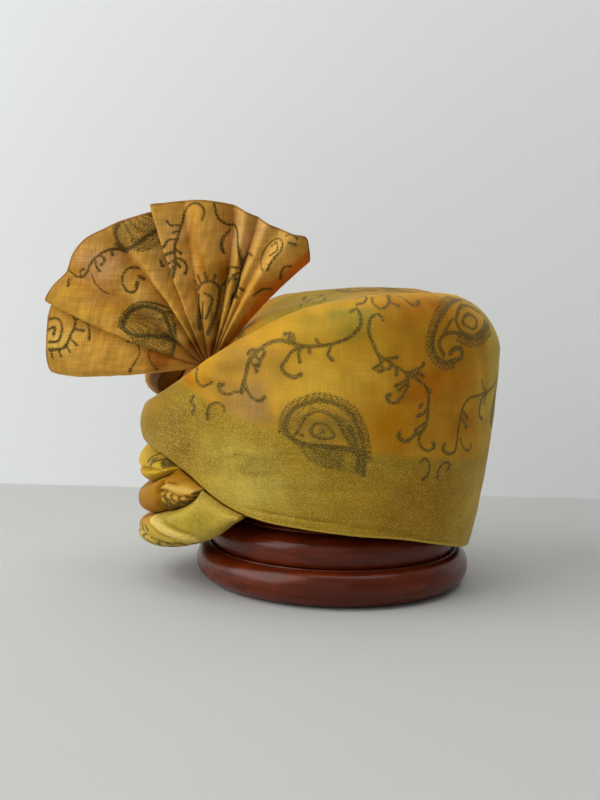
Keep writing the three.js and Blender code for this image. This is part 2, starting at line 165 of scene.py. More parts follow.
def lacquered_wood():
    material, tree, shader = new_material("lacquered_mahogany")
    place = add_node(tree, "ShaderNodeTexCoord").outputs["Object"]
    along_grain = add_node(tree, "ShaderNodeMapping", {"Scale": GRAIN_SCALE}, {"Vector": place})
    grain = noise(tree, along_grain.outputs[0], 1.0, 5.0, Roughness=0.62, Distortion=0.6)
    pale = fit_range(tree, grain, 0.32, 0.68)
    stain = blend_colours(tree, pale, linear(*STAIN_DARK), linear(*STAIN_LIGHT))
    cloudy = fit_range(tree, noise(tree, place, 16.0, 2.0), 0.35, 0.7, 0.0, 0.3)
    tree.links.new(blend_colours(tree, cloudy, stain, linear(*STAIN_CLOUD)), shader.inputs["Base Color"])
    rubbed = fit_range(tree, noise(tree, place, 70.0, 3.0), 0.3, 0.75, 0.26, 0.36)
    tree.links.new(rubbed, shader.inputs["Roughness"])
    orange_peel = noise(tree, place, 900.0, 1.0)
    relief = {"Strength": 0.45, "Distance": 0.3 * MM}
    bump = add_node(tree, "ShaderNodeBump", relief, {"Height": orange_peel})
    for socket in ("Normal", "Coat Normal"):
        tree.links.new(bump.outputs[0], shader.inputs[socket])
    shader.inputs["Coat Weight"].default_value = 0.5
    shader.inputs["Coat Roughness"].default_value = 0.2
    shader.inputs["Specular IOR Level"].default_value = 0.06
    return material


WOOD = lacquered_wood()
neck_foot = FOOT_BEAD_HEIGHT + UPPER_BEAD_HEIGHT
foot_top = neck_foot + NECK_HEIGHT
groove_edge = UPPER_BEAD_RADIUS - UPPER_BEAD_FOOT_DEPTH
lip_middle = FOOT_RADIUS - FOOT_BEAD_TOP_DEPTH - FOOT_LIP_ROUND
foot_lip = [
    (lip_middle + FOOT_LIP_ROUND * math.cos(a), FOOT_BEAD_HEIGHT + FOOT_LIP_ROUND * math.sin(a))
    for a in np.linspace(0, math.pi, FOOT_LIP_STEPS)[1:]
]
foot_profile = [
    (0, 0),
    *half_round(FOOT_RADIUS, FOOT_BEAD_DEPTH, FOOT_BEAD_TOP_DEPTH, 0, FOOT_BEAD_HEIGHT),
    *foot_lip,
    (groove_edge + GROOVE_WIDTH, FOOT_BEAD_HEIGHT - GROOVE_DEPTH),
    (groove_edge, FOOT_BEAD_HEIGHT - GROOVE_DEPTH),
    *half_round(
        UPPER_BEAD_RADIUS, UPPER_BEAD_FOOT_DEPTH, UPPER_BEAD_DEPTH, FOOT_BEAD_HEIGHT, UPPER_BEAD_HEIGHT
    ),
    *half_round(NECK_RADIUS + RING_DEPTH, RING_DEPTH, RING_DEPTH, neck_foot, RING_HEIGHT),
    (NECK_RADIUS, foot_top - NECK_CHAMFER),
    (NECK_RADIUS - NECK_CHAMFER, foot_top),
    (0, foot_top),
]
foot = turn_on_lathe("turned_foot", foot_profile)
foot.data.materials.append(WOOD)
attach(foot, "root")
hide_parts("stand_base")


# Post: a plain hardwood pole on the foot with a domed head, turned and lacquered like the foot.
# It is hidden in the head's hollow, and its dome carries the crown of the winding.
POST_RADIUS = 17
POST_HEAD_RADIUS = 44
POST_HEAD_HEIGHT = 26
POST_GAP = 0.3
DOME_STEPS = 14
post_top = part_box("stand_post")[1].z / MM
dome_foot = post_top - POST_HEAD_HEIGHT
dome = [
    (POST_HEAD_RADIUS * math.cos(a), dome_foot + POST_HEAD_HEIGHT * math.sin(a))
    for a in np.linspace(0, math.pi / 2, DOME_STEPS)[:-1]
]
post_profile = [
    (0, foot_top + POST_GAP),
    (POST_RADIUS, foot_top + POST_GAP),
    (POST_RADIUS, dome_foot - POST_HEAD_HEIGHT),
    *dome,
    (0, post_top),
]
post = turn_on_lathe("domed_post", post_profile)
post.data.materials.append(WOOD)
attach(post, "root")
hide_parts("stand_post")


# Crown winding: printed silk wound round the head and drawn over the top in soft pleats from the gather.
# It is closed on top and open underneath, and thicker at the forehead, where its turns lie over each other.
# It rests on the post's dome.
PLAN = (  # height, reach to the front, to the back, to either side
    (15, 117, 88.5, 87), (45, 118, 95.5, 90), (75, 118, 100.5, 92.5), (105, 118, 104, 94.5),
    (135, 116, 106.5, 96), (165, 112, 107.5, 97), (190, 108, 107.5, 97),
)
CROWN_TOP = (  # place from forehead to nape, height
    (-125, 134), (-105, 147), (-85, 162), (-50, 183), (-25, 191),
    (0, 196.5), (40, 201), (70, 199), (95, 190), (112, 179),
)
SHOULDER_DROP = 18
SHOULDER_INSET = 22
SHOULDER_ARC = 31.5
SHOULDER_PASSES = 4
CROWN_WALL = 3
FOREHEAD_PADDING = 13
GATHER_PLAN = (-86, -67)
CROWN_PLEAT_DEGREES = 11
CROWN_PLEAT_DEPTH = 1.3
CROWN_PLEAT_SPREAD = 45
CROWN_PLEAT_DROP = 0.2
CROWN_PLEAT_ROUND = 1.4
CROWN_PLEAT_WANDER = 3
CROWN_ROLL = (  # turn, climb where the cloth rolls up behind the outer winding's edge, height of the roll
    (40, 148, 0), (50, 164, 3.5), (60, 180, 6), (72, 196, 6.5), (84, 208, 5.5), (98, 214, 4),
    (115, 216, 3.2), (135, 214, 2), (160, 207, 0),
)
CROWN_ROLL_ROUND = 5
CROWN_ROLL_FADE = 35
CROWN_PUFFS = (  # place along, place across, reach along, reach across, height
    (-48, -13, 34, 36, 9.5), (2, 0, 48, 44, 5.4),
)
CROWN_COLUMNS = 300
CROWN_WALL_ROWS = 22
SHOULDER_ROWS = 16
CROWN_TOP_ROWS = 70
CROWN_TOP_REACH = 0.995
CROWN_BACK_EVERY = 3
RIM_HEIGHTS = (  # turn, height of the crown's rim, a little above the cloth outside it
    (0, 23), (12, 25.5), (24, 29), (34, 33), (46, 40.5), (58, 56.5), (66, 59), (79, 55.5), (95, 52),
    (115, 48.5), (135, 41.5), (157, 33.5), (180, 29), (203, 33.5), (225, 41.5), (245, 48.5), (265, 52.5),
    (284, 64.5), (296, 54.5), (304, 46.5), (315, 37.5), (330, 30), (345, 25), (360, 23),
)


def smooth_curve(rows, column):
    """Smooth curve through one column of a table, over the table's first column."""
    places = np.array([row[0] for row in rows], float)
    values = np.array([row[column] for row in rows], float)
    slopes = np.gradient(values, places)

    def at(place):
        place = np.clip(place, places[0], places[-1])
        right = np.clip(np.searchsorted(places, place, side="right"), 1, len(places) - 1)
        left = right - 1
        span = places[right] - places[left]
        t = (place - places[left]) / span
        ends = (1 + 2 * t) * (1 - t) ** 2 * values[left] + t**2 * (3 - 2 * t) * values[right]
        return ends + span * t * (1 - t) * ((1 - t) * slopes[left] - t * slopes[right])

    return at


front_reach, back_reach, side_reach = (smooth_curve(PLAN, column) for column in (1, 2, 3))
crown_top = smooth_curve(CROWN_TOP, 1)
rim_height = smooth_curve(RIM_HEIGHTS, 1)


def wall_point(turn, height):
    """Plan of the crown's wall and the way straight out of it, by turn from the forehead over the left."""
    cos, sin = np.cos(np.radians(turn)), np.sin(np.radians(turn))
    along = np.where(cos > 0, front_reach(height), back_reach(height))
    across = side_reach(height)
    outward = np.stack([-cos / along, -sin / across], -1)
    outward = outward / np.linalg.norm(outward, axis=-1, keepdims=True)
    return np.stack([-along * cos, -across * sin], -1), outward


def shoulder_height(turn):
    height = crown_top(0.0 * turn) - SHOULDER_DROP
    for _ in range(SHOULDER_PASSES):
        height = crown_top(wall_point(turn, height)[0][..., 0]) - SHOULDER_DROP
    return height


def cloth_point(turn, climb, lift):
    """Point on the wound form: climb runs up the wall, round the shoulder and in over the top."""
    turn, climb, lift = np.broadcast_arrays(*(np.asarray(a, float) for a in (turn, climb, lift)))
    shoulder = shoulder_height(turn)
    wall, outward = wall_point(turn, np.minimum(climb, shoulder))
    past = np.maximum(climb - shoulder, 0)
    bend = math.pi / 2 * np.minimum(past / SHOULDER_ARC, 1)
    inset = SHOULDER_INSET * (1 - np.cos(bend)) + np.maximum(past - SHOULDER_ARC, 0)
    share = 1 - inset / np.linalg.norm(wall, axis=-1)
    plan = wall * share[..., None] + outward * (lift * np.cos(bend))[..., None]
    over = crown_top(wall[..., 0] * share) - SHOULDER_DROP * (1 - np.sin(bend)) + lift * np.sin(bend)
    return np.concatenate([plan, np.where(past > 0, over, climb)[..., None]], -1)


def full_climb(turn):
    shoulder = shoulder_height(turn)
    return shoulder + SHOULDER_ARC + np.linalg.norm(wall_point(turn, shoulder)[0], axis=-1) - SHOULDER_INSET


# The print's blocks, charted in millimetres. A row is half a stroke's width and the points on its line.
INK_STEP = 0.4
INK_REACH = 4.0
INK_BATCH = 4000
VINE_LONG = (
    (1.3, ((32, 29), (36, 31), (38, 26), (38, 21), (32, 14), (24, 10), (16, 8), (4, 7), (-5, 8), (-15, 9),
           (-24, 6), (-29, 2), (-34, -3), (-36, -10), (-37, -17), (-38, -25))),
    (1.2, ((-36, -19), (-34, -23), (-30, -28), (-24, -29), (-22, -27))),
    (1.1, ((-38, -25), (-43, -25), (-47, -27), (-53, -25), (-54, -21), (-51, -21))),
    (1.3, ((4, 7), (-6, 3), (-9, -2), (-12, -7), (-9, -11), (-4, -13), (1, -11))),
    (1.2, ((-4, 9), (-6, 13), (-12, 13))),
    (1.1, ((-4, 9), (-9, 10), (-8, 12))),
    (1.2, ((-1, 5), (-1, 1), (0, -3))),
    (1.1, ((5, 7), (6, 3))),
    (1.2, ((20, 7), (18, 2), (21, -1))),
    (1.1, ((13, 8), (10, 11))),
    (1.3, ((-27, 4), (-24, 1), (-26, -2))),
    (1.3, ((-31, -1), (-27, -4), (-28, -7))),
    (1.2, ((-33, -5), (-30, -8), (-29, -11))),
    (1.2, ((-29, 2), (-34, 2), (-36, 0))),
)
VINE_TURNING = (
    (1.2, ((-13, 37), (-15, 40), (-18, 40), (-22, 34), (-22, 30), (-19, 22), (-16, 16), (-10, 12), (-4, 8),
           (3, 4), (10, 0), (17, -6), (19, -12), (19, -20), (19, -27), (16, -34), (11, -36), (5, -40),
           (0, -37), (0, -34))),
    (1.2, ((3, 3), (4, -4), (1, -10), (-4, -15), (-8, -14), (-9, -10), (-7, -10))),
    (1.1, ((16, -34), (14, -40), (19, -46), (23, -47), (27, -44), (25, -42))),
    (1.2, ((-16, 16), (-14, 10), (-18, 7))),
    (1.1, ((-14, 10), (-12, 6), (-15, 5))),
    (1.1, ((-10, 13), (-4, 14))),
    (1.1, ((-4, 7), (-4, 3))),
    (1.1, ((-6, 9), (-9, 7))),
    (1.2, ((4, 4), (8, 6), (13, 8), (14, 10))),
    (1.2, ((7, 2), (11, 4), (14, 2))),
    (1.2, ((2, -1), (-4, -4))),
    (1.1, ((3, -3), (-2, -7))),
    (1.2, ((17, -6), (20, -8))),
    (1.2, ((15, -16), (13, -18))),
    (1.2, ((18, -20), (15, -23), (12, -24))),
    (1.1, ((18, -28), (14, -31), (11, -33))),
)
VINE_SHORT = (
    (1.1, ((58, 26), (28, 18), (13, 16), (2, 15), (-2, 12), (-5, 4), (-6, -4), (-6, -12), (-8, -20),
           (-13, -20), (-18, -16), (-17, -14))),
    (1.1, ((16, 26), (20, 20), (26, 17))),
    (1.1, ((26, 17), (17, 12), (17, 2), (22, -1))),
    (1.1, ((24, 16), (22, 10))),
    (1.1, ((-4, 8), (2, 2))),
    (1.1, ((-5, 4), (2, -4))),
    (1.0, ((-3, -11), (2, -18), (9, -20), (10, -17))),
)
PAISLEY_EDGE = (
    (25.5, -28), (25.5, -22), (25, -15), (24, -8), (22, 0), (19, 6), (16, 12), (11, 16), (4, 19), (-5, 20),
    (-12, 18), (-20, 14), (-25, 5), (-25, -2),
)
PAISLEY_FOOT = ((-25, -2), (-19, -6.5), (-10, -9), (0, -9.5), (8, -10), (18, -11.5), (25, -14.5))
PAISLEY_HEM = ((-19, -6.5), (-15, -12), (-8, -20), (1, -23), (14, -25), (25.5, -28))
PAISLEY_EYE = ((-19, -3), (-16, 2), (-13, 8), (-5, 13), (3, 10.5), (8, 6), (13, -3), (19, -11))
PAISLEY = (
    (1.5, PAISLEY_EDGE),
    (1.8, PAISLEY_FOOT),
    (1.6, ((22, -25), (21, -14), (19, -5), (15, 3))),
    (1.0, PAISLEY_EYE),
    (1.0, ((-9, 1), (-6, 5), (-1, 5), (4, 1), (6, -3), (3, -4), (-3, -4), (-8, -2), (-9, 1))),
    (0.8, ((-3, 2), (0, 0), (-3, -1))),
    (1.0, ((-18, -1), (-14, -3))),
)
HOOK_EDGE = (
    (24, 18), (1, 19), (-20, 13), (-29, 5), (-32, -3), (-31, -11), (-28, -16), (-23, -19), (-14, -18),
)
HOOK_FOOT = ((-11, -1), (-1, -5), (11, -5), (21, -1), (30, 0))
HOOKED_PAISLEY = (
    (1.6, HOOK_EDGE),
    (1.6, ((-14, -18), (-8, -16), (-9, -11), (-14, -10), (-18, -13))),
    (1.3, ((11, -5), (-1, -5), (-11, -1), (-17, 0), (-23, -1), (-27, -5), (-26, -10), (-23, -14))),
    (1.3, ((28, 3), (13, -1), (4, -3), (-4, -2), (-11, 2), (-13, 6), (-6, 12), (17, 13), (30, 7))),
    (1.1, ((12, 5), (5, 1), (-3, 3), (-7, 5), (0, 9), (9, 8), (12, 5))),
    (1.5, ((24, 18), (34, 11), (38, 4), (30, 0), (21, -1), (11, -5))),
    (1.1, ((-15, 8), (-21, 4), (-24, -1))),
)
FRINGE_SPACING = 2.4
FRINGE_LENGTH = 2.8
FRINGE_STAND_OFF = 1.6
FRINGE_WIDTH = 0.72
FRINGE_START = 0.1
HATCH_SPACING = 1.4
HATCH_WIDTH = 0.38
SPRIG = (
    (1.0, ((0, 0), (3, 4), (7, 4), (8, 1))),
    (1.0, ((0, 0), (-3, 4), (-6, 5), (-8, 2))),
    (1.0, ((0, -3), (0, 6))),
)
CURL = (
    (1.1, ((-4, -5), (-5, 0), (-1, 4), (4, 3), (5, -1), (2, -2))),
    (1.0, ((-5, 0), (-8, 3), (-7, 5))),
)


def smooth_line(points):
    """Points close together on a smooth line through a few charted ones."""
    chart = np.array(points, float)
    reach = np.concatenate([[0], np.cumsum(np.linalg.norm(np.diff(chart, axis=0), axis=1))])
    rows = list(zip(reach, chart[:, 0], chart[:, 1]))
    steps = np.linspace(0, reach[-1], int(reach[-1] / INK_STEP) + 2)
    return np.stack([smooth_curve(rows, 1)(steps), smooth_curve(rows, 2)(steps)], -1)


def fringe(edge, start=0.0):
    """Short strokes that stand out from a paisley's edge, from a share of its length on."""
    line = smooth_line(edge)
    along = np.gradient(line, axis=0)
    outward = np.stack([along[:, 1], -along[:, 0]], -1) / np.linalg.norm(along, axis=1, keepdims=True)
    roots = line + outward * FRINGE_STAND_OFF
    picked = range(int(start * len(line)), len(line), int(FRINGE_SPACING / INK_STEP))
    return [(FRINGE_WIDTH, (roots[k], roots[k] + outward[k] * FRINGE_LENGTH)) for k in picked]


def hatch(upper, lower):
    """Close thin strokes that fill the space between two lines of a block."""
    first, last = smooth_line(upper), smooth_line(lower)
    shares = np.arange(0, 1, HATCH_SPACING / INK_STEP / len(last))
    ends = [(first[int(s * len(first))], last[int(s * len(last))]) for s in shares]
    return [(HATCH_WIDTH, pair) for pair in ends if np.linalg.norm(pair[1] - pair[0]) > HATCH_SPACING]


paisley_rim = (*fringe(PAISLEY_EDGE, FRINGE_START), *hatch(PAISLEY_FOOT, PAISLEY_HEM))
BLOCKS = {
    "long": VINE_LONG, "turning": VINE_TURNING, "short": VINE_SHORT, "sprig": SPRIG, "curl": CURL,
    "paisley": (*PAISLEY, *paisley_rim, *hatch(PAISLEY_EDGE[::-1], PAISLEY_EYE)),
    "leaf": (*PAISLEY[:2], *paisley_rim, *hatch(PAISLEY_EDGE[::-1], PAISLEY_FOOT)),
    "hooked": (*HOOKED_PAISLEY, *fringe(HOOK_EDGE, FRINGE_START), *fringe(HOOK_FOOT)),
}
TIP_FULLNESS = 0.35
TIP_POWER = 4
RIPPLE_LENGTHS = (16, 21, 28, 37, 50)
DYE_WANDER_ALONG = 14
DYE_WANDER_UP = 10
CLOTH_UNIT = 100  # millimetres of cloth to one unit of its own coordinates
WARP_SCALE = (250, 5, 1)
WEFT_SCALE = (4, 270, 1)
SLUB_SCALE = (90, 2.6, 1)
CLOUD_SCALE = (5, 7, 1)
TISSUE_SCALE = (210, 270, 1)
GOLD_THREAD_SCALE = (6, 190, 1)
RAGGED_SCALE = (130, 130, 1)
RAGGED_WIDTH = 3.2
GLITTER_SCALE = (140, 140, 1)
GLINT_SHARE = 0.9
GLINT_RELIEF = 1.5
TISSUE_METAL = 0.3
TISSUE_GLOSS = 0.14
WEAVE_ROUGHNESS = 0.12
EDGING_WIDTHS = (0.7, 1.9)
EDGING_SHARE = 0.8
INK = (64, 50, 10)
INK_GLITTER = (180, 160, 94)
GOLD_GLINT = (232, 206, 112)
SELVEDGE_GOLD = (214, 182, 70)


def stroke(half_width, points, scale=1.0):
    """A stroke's half width and place along a smooth line, a little fuller towards its tip."""
    line = smooth_line(points)
    return half_width * scale * (1 + TIP_FULLNESS * np.linspace(0, 1, len(line)) ** TIP_POWER), line


def stamped(prints):
    """Strokes of a list of prints: block, place along and up, turn in degrees, size, 1 or -1 to flip it."""
    strokes = []
    for block, along, up, angle, size, flip in prints:
        cos, sin = math.cos(math.radians(angle)) * size, math.sin(math.radians(angle)) * size
        turned = np.array([[cos, sin], [-sin, cos]])
        for half_width, points in BLOCKS[block]:
            widths, line = stroke(half_width, points, math.sqrt(size))
            strokes.append((widths, line * (flip, 1) @ turned + (along, up)))
    return strokes


def ink_gap(places, strokes):
    """Distance in millimetres from each place to the nearest inked stroke, below zero inside it."""
    gap = np.full(len(places), INK_REACH)
    for widths, line in strokes:
        room = INK_REACH + widths.max()
        near = np.all((places > line.min(0) - room) & (places < line.max(0) + room), axis=1).nonzero()[0]
        for part in np.array_split(near, len(near) // INK_BATCH + 1):
            apart = np.linalg.norm(places[part][:, None] - line[None], axis=2) - widths
            gap[part] = np.minimum(gap[part], apart.min(1))
    return gap


def print_gap(places, prints, marks):
    """Distance from each place to the nearest stroke of the stamped blocks and the single marks."""
    return ink_gap(places, stamped(prints) + [stroke(*mark) for mark in marks])


def soft_ripple(along, up, height, seed, lengths=RIPPLE_LENGTHS):
    """Gentle unevenness of hand-wound cloth, the same on each run."""
    rng = np.random.default_rng(seed)
    total = np.zeros(np.broadcast(along, up).shape)
    for length in lengths:
        bearing, start = rng.uniform(0, math.pi), rng.uniform(0, math.tau)
        total += np.sin((along * math.cos(bearing) + up * math.sin(bearing)) * math.tau / length + start)
    return height * total / len(lengths)


def dye_and_shade_colours(places, ground, patches):
    """Linear colour of hand-dyed cloth, with soft patches, mostly of dye and a few of painted shade: the
    middle, the reaches and the colour of each.
    """
    along, up = places.T
    wander_along = along + soft_ripple(along, up, DYE_WANDER_ALONG, seed=3)
    wander_up = up + soft_ripple(up, along, DYE_WANDER_UP, seed=4)
    colour = np.broadcast_to(linear(*ground), (len(places), 4)).copy()
    for middle_along, middle_up, reach_along, reach_up, patch in patches:
        far = ((wander_along - middle_along) / reach_along) ** 2 + ((wander_up - middle_up) / reach_up) ** 2
        share = np.exp(-far)[:, None]
        colour = colour * (1 - share) + np.array(linear(*patch)) * share
    return colour


def front_and_back(front, back):
    """One row for each point of a sheet, in the order of cloth_piece."""
    return np.concatenate([side.reshape(-1, *side.shape[2:]) for side in (front, back)])


def cloth_piece(name, outer, inner, closed=False):
    """A closed sheet from its outer points and the points of its back, by column and row, in millimetres."""
    columns, rows = outer.shape[:2]
    back_rows = inner.shape[1]
    front = np.arange(columns * rows).reshape(columns, rows)
    behind = columns * rows + np.arange(columns * back_rows).reshape(columns, back_rows)
    behind = np.concatenate([front[:, :1], behind, front[:, -1:]], axis=1)
    if closed:
        front, behind = (np.concatenate([grid, grid[:1]]) for grid in (front, behind))

    def quads(grid):
        return np.stack([grid[:-1, :-1], grid[1:, :-1], grid[1:, 1:], grid[:-1, 1:]], -1).reshape(-1, 4)

    faces = [*quads(front).tolist(), *quads(behind)[:, ::-1].tolist()]
    if not closed:
        for end, flip in ((0, -1), (-1, 1)):
            faces.append([*front[end][::-1].tolist(), *behind[end][1:-1].tolist()][::flip])
    mesh = bpy.data.meshes.new(name)
    mesh.from_pydata((front_and_back(outer, inner) * MM).tolist(), [], faces)
    mesh.validate()
    mesh.shade_smooth()
    cloth = bpy.data.objects.new(name, mesh)
    bpy.context.scene.collection.objects.link(cloth)
    return cloth


def dress(cloth, places, colours, gaps, tissue, selvedge):
    """Lays the cloth's own coordinates, dye with any painted shade, print, tissue and distance from the
    selvedge on its points.
    """
    mesh = cloth.data
    columns = {"print_gap": gaps, "tissue": tissue, "selvedge": selvedge}
    for name, values in columns.items():
        mesh.attributes.new(name, "FLOAT", "POINT").data.foreach_set("value", values.astype(np.float32))
    dye_and_painted_shade = mesh.attributes.new("dye_and_painted_shade", "FLOAT_COLOR", "POINT")
    dye_and_painted_shade.data.foreach_set("color", colours.astype(np.float32).ravel())
    corners = np.empty(len(mesh.loops), np.int32)
    mesh.loops.foreach_get("vertex_index", corners)
    weave = (places / CLOTH_UNIT)[corners].astype(np.float32)
    mesh.uv_layers.new(name="cloth").data.foreach_set("uv", weave.ravel())


def new_group(name, inputs, outputs):
    """A group of values: the group, its own inputs, the cloth's coordinates and the group's outputs."""
    group = bpy.data.node_groups.new(name, "ShaderNodeTree")
    for side, titles in (("INPUT", inputs), ("OUTPUT", outputs)):
        for title in titles:
            group.interface.new_socket(title, in_out=side, socket_type="NodeSocketFloat")
    given = group.nodes.new("NodeGroupInput").outputs
    weave = add_node(group, "ShaderNodeUVMap", uv_map="cloth").outputs[0]
    return group, given, weave, group.nodes.new("NodeGroupOutput").inputs


def cloth_value(tree, name, output="Fac"):
    return add_node(tree, "ShaderNodeAttribute", attribute_name=name).outputs[output]


def streaks(tree, weave, scale, detail=2.0):
    place = add_node(tree, "ShaderNodeMapping", {"Scale": scale}, {"Vector": weave})
    return noise(tree, place.outputs[0], 1.0, detail)


def weave_group():
    """Fine uneven threads both ways, with slubs, and a tone that also varies over the cloth."""
    group, given, weave, out = new_group("silk_weave", ["Contrast"], ["Shade", "Tone"])
    warp = sum_up(group, "MULTIPLY", streaks(group, weave, WARP_SCALE), 0.45)
    weft = sum_up(group, "MULTIPLY", streaks(group, weave, WEFT_SCALE), 0.4)
    slub = sum_up(group, "MULTIPLY", streaks(group, weave, SLUB_SCALE, 3.0), 0.15)
    threads = sum_up(group, "ADD", sum_up(group, "ADD", warp, weft), slub)
    shade = fit_range(group, threads, 0.33, 0.67)
    darkest = sum_up(group, "SUBTRACT", 1.0, given["Contrast"])
    palest = sum_up(group, "ADD", 1.0, given["Contrast"])
    toned = fit_range(group, shade, 0.0, 1.0, darkest, palest)
    cloud = fit_range(group, streaks(group, weave, CLOUD_SCALE, 4.0), 0.3, 0.7, 0.9, 1.1)
    group.links.new(shade, out["Shade"])
    group.links.new(sum_up(group, "MULTIPLY", toned, cloud), out["Tone"])
    return group


def tissue_group():
    """Flat gold thread in the border: a painted glint here and there along the threads."""
    group, given, weave, out = new_group("gold_tissue", ["Border"], ["Glint"])
    place = add_node(group, "ShaderNodeMapping", {"Scale": TISSUE_SCALE}, {"Vector": weave})
    grain = add_node(group, "ShaderNodeTexVoronoi", {"Scale": 1.0}, {"Vector": place.outputs[0]})
    pick = add_node(group, "ShaderNodeSeparateColor", feeds={0: grain.outputs["Color"]})
    picked = fit_range(group, pick.outputs[0], 0.5, 0.95)
    glint = sum_up(group, "MULTIPLY", picked, streaks(group, weave, GOLD_THREAD_SCALE))
    group.links.new(sum_up(group, "MULTIPLY", glint, given["Border"]), out["Glint"])
    return group


def print_group():
    """Hand-blocked print: strokes with a ragged edge and glitter in the paste."""
    group, given, weave, out = new_group("block_print", ["Strength", "Glitter"], ["Ink", "Sparkle"])
    uneven = sum_up(group, "SUBTRACT", streaks(group, weave, RAGGED_SCALE, 3.0), 0.5)
    uneven = sum_up(group, "MULTIPLY", uneven, RAGGED_WIDTH)
    ragged = sum_up(group, "ADD", cloth_value(group, "print_gap"), uneven)
    ink = fit_range(group, ragged, 0.3, -0.5)
    group.links.new(sum_up(group, "MULTIPLY", ink, given["Strength"]), out["Ink"])
    grains = fit_range(group, streaks(group, weave, GLITTER_SCALE, 1.0), 0.54, 0.64)
    group.links.new(sum_up(group, "MULTIPLY", grains, given["Glitter"]), out["Sparkle"])
    return group


WEAVE, TISSUE, PRINT = weave_group(), tissue_group(), print_group()


def silk_material(name, ink_strength, glitter, roughness=0.55, thread_contrast=0.1, edge=SELVEDGE_GOLD):
    """Dyed silk with painted shade in places, its weave, gold tissue border with painted glints, and print,
    from the cloth's coordinates and attributes.
    """
    material, tree, shader = new_material(name)
    border = cloth_value(tree, "tissue")
    weave = add_node(tree, "ShaderNodeGroup", {"Contrast": thread_contrast}, node_tree=WEAVE).outputs
    tissue = add_node(tree, "ShaderNodeGroup", feeds={"Border": border}, node_tree=TISSUE).outputs
    pasted = {"Strength": ink_strength, "Glitter": glitter}
    printed = add_node(tree, "ShaderNodeGroup", pasted, node_tree=PRINT).outputs
    toning = {0: cloth_value(tree, "dye_and_painted_shade", "Color"), "Scale": weave["Tone"]}
    tone = add_node(tree, "ShaderNodeVectorMath", feeds=toning, operation="SCALE").outputs[0]
    # Painted glints: the tissue's glint mask turns specks of the border pale gold in the base colour, and
    # also raises them a little in the relief.
    glint = sum_up(tree, "MULTIPLY", tissue["Glint"], GLINT_SHARE, True)
    colour = blend_colours(tree, glint, tone, linear(*GOLD_GLINT))
    paste = blend_colours(tree, printed["Sparkle"], linear(*INK), linear(*INK_GLITTER))
    colour = blend_colours(tree, printed["Ink"], colour, paste)
    edging = fit_range(tree, cloth_value(tree, "selvedge"), *EDGING_WIDTHS, EDGING_SHARE, 0.0)
    colour = blend_colours(tree, edging, colour, linear(*edge))
    tree.links.new(colour, shader.inputs["Base Color"])
    tree.links.new(sum_up(tree, "MULTIPLY", border, TISSUE_METAL), shader.inputs["Metallic"])
    uneven = sum_up(tree, "ADD", sum_up(tree, "MULTIPLY", weave["Shade"], WEAVE_ROUGHNESS), roughness)
    matt = sum_up(tree, "SUBTRACT", uneven, sum_up(tree, "MULTIPLY", border, TISSUE_GLOSS))
    tree.links.new(matt, shader.inputs["Roughness"])
    raised = sum_up(tree, "MULTIPLY", tissue["Glint"], GLINT_RELIEF)
    relief = sum_up(tree, "ADD", weave["Shade"], raised)
    bump = add_node(tree, "ShaderNodeBump", {"Strength": 0.35, "Distance": 0.25 * MM}, {"Height": relief})
    tree.links.new(bump.outputs[0], shader.inputs["Normal"])
    shader.inputs["Sheen Weight"].default_value = 0.03
    shader.inputs["Sheen Roughness"].default_value = 0.4
    shader.inputs["Specular IOR Level"].default_value = 0.09
    return material


def crown_pleats(points):
    """How far the crown's surface lies below its fullest form, in pleats that spread from the gather."""
    away = points[..., :2] - np.array(GATHER_PLAN)
    wander = soft_ripple(away[..., 0], away[..., 1], CROWN_PLEAT_WANDER, seed=5)
    bearing = np.degrees(np.arctan2(away[..., 1], away[..., 0])) + wander
    share = bearing / CROWN_PLEAT_DEGREES % 1
    rise = 1 - CROWN_PLEAT_DROP
    slope = np.where(share < rise, share / rise, (1 - share) / CROWN_PLEAT_DROP)
    fade = np.clip(np.linalg.norm(away, axis=-1) / CROWN_PLEAT_SPREAD, 0, 1)
    return CROWN_PLEAT_DEPTH * (1 - slope**CROWN_PLEAT_ROUND) * fade


def crown_fullness(points, turn, climb):
    """How far the cloth stands over the wound form: a roll behind the winding's edge, and soft puffs."""
    start, height = (smooth_curve(CROWN_ROLL, column)(turn) for column in (1, 2))
    past = np.maximum(climb - start, 0)
    roll = height * (1 - np.exp(-past / CROWN_ROLL_ROUND)) * np.exp(-((past / CROWN_ROLL_FADE) ** 2))
    for along, across, reach_along, reach_across, puff in CROWN_PUFFS:
        far = ((points[..., 0] - along) / reach_along) ** 2 + ((points[..., 1] - across) / reach_across) ** 2
        roll = roll + puff * np.exp(-far)
    return roll


crown_turns = np.arange(CROWN_COLUMNS)[:, None] * 360 / CROWN_COLUMNS
crown_rim = rim_height(crown_turns)
crown_shoulder = shoulder_height(crown_turns)
crown_flat = full_climb(crown_turns) - crown_shoulder - SHOULDER_ARC
crown_climbs = np.concatenate([
    crown_rim + (crown_shoulder - crown_rim) * np.linspace(0, 1, CROWN_WALL_ROWS)[:-1],
    crown_shoulder + SHOULDER_ARC * np.linspace(0, 1, SHOULDER_ROWS)[:-1],
    crown_shoulder + SHOULDER_ARC + crown_flat * np.linspace(0, CROWN_TOP_REACH, CROWN_TOP_ROWS),
], axis=1)
crown_full = cloth_point(crown_turns, crown_climbs, 0)
crown_lift = crown_fullness(crown_full, crown_turns, crown_climbs) - crown_pleats(crown_full)
crown_outer = cloth_point(crown_turns, crown_climbs, crown_lift)
crown_padding = FOREHEAD_PADDING * np.maximum(np.cos(np.radians(crown_turns)), 0) ** 2
crown_fade = np.clip((crown_climbs - crown_shoulder) / SHOULDER_ARC, 0, 1)
crown_depth = -CROWN_WALL - crown_padding * (1 - crown_fade)
crown_inner = cloth_point(crown_turns, crown_climbs, crown_depth)[:, 1:-1:CROWN_BACK_EVERY]
crown = cloth_piece("crown_winding", crown_outer, crown_inner, closed=True)
CROWN_GROUND = (158, 136, 42)
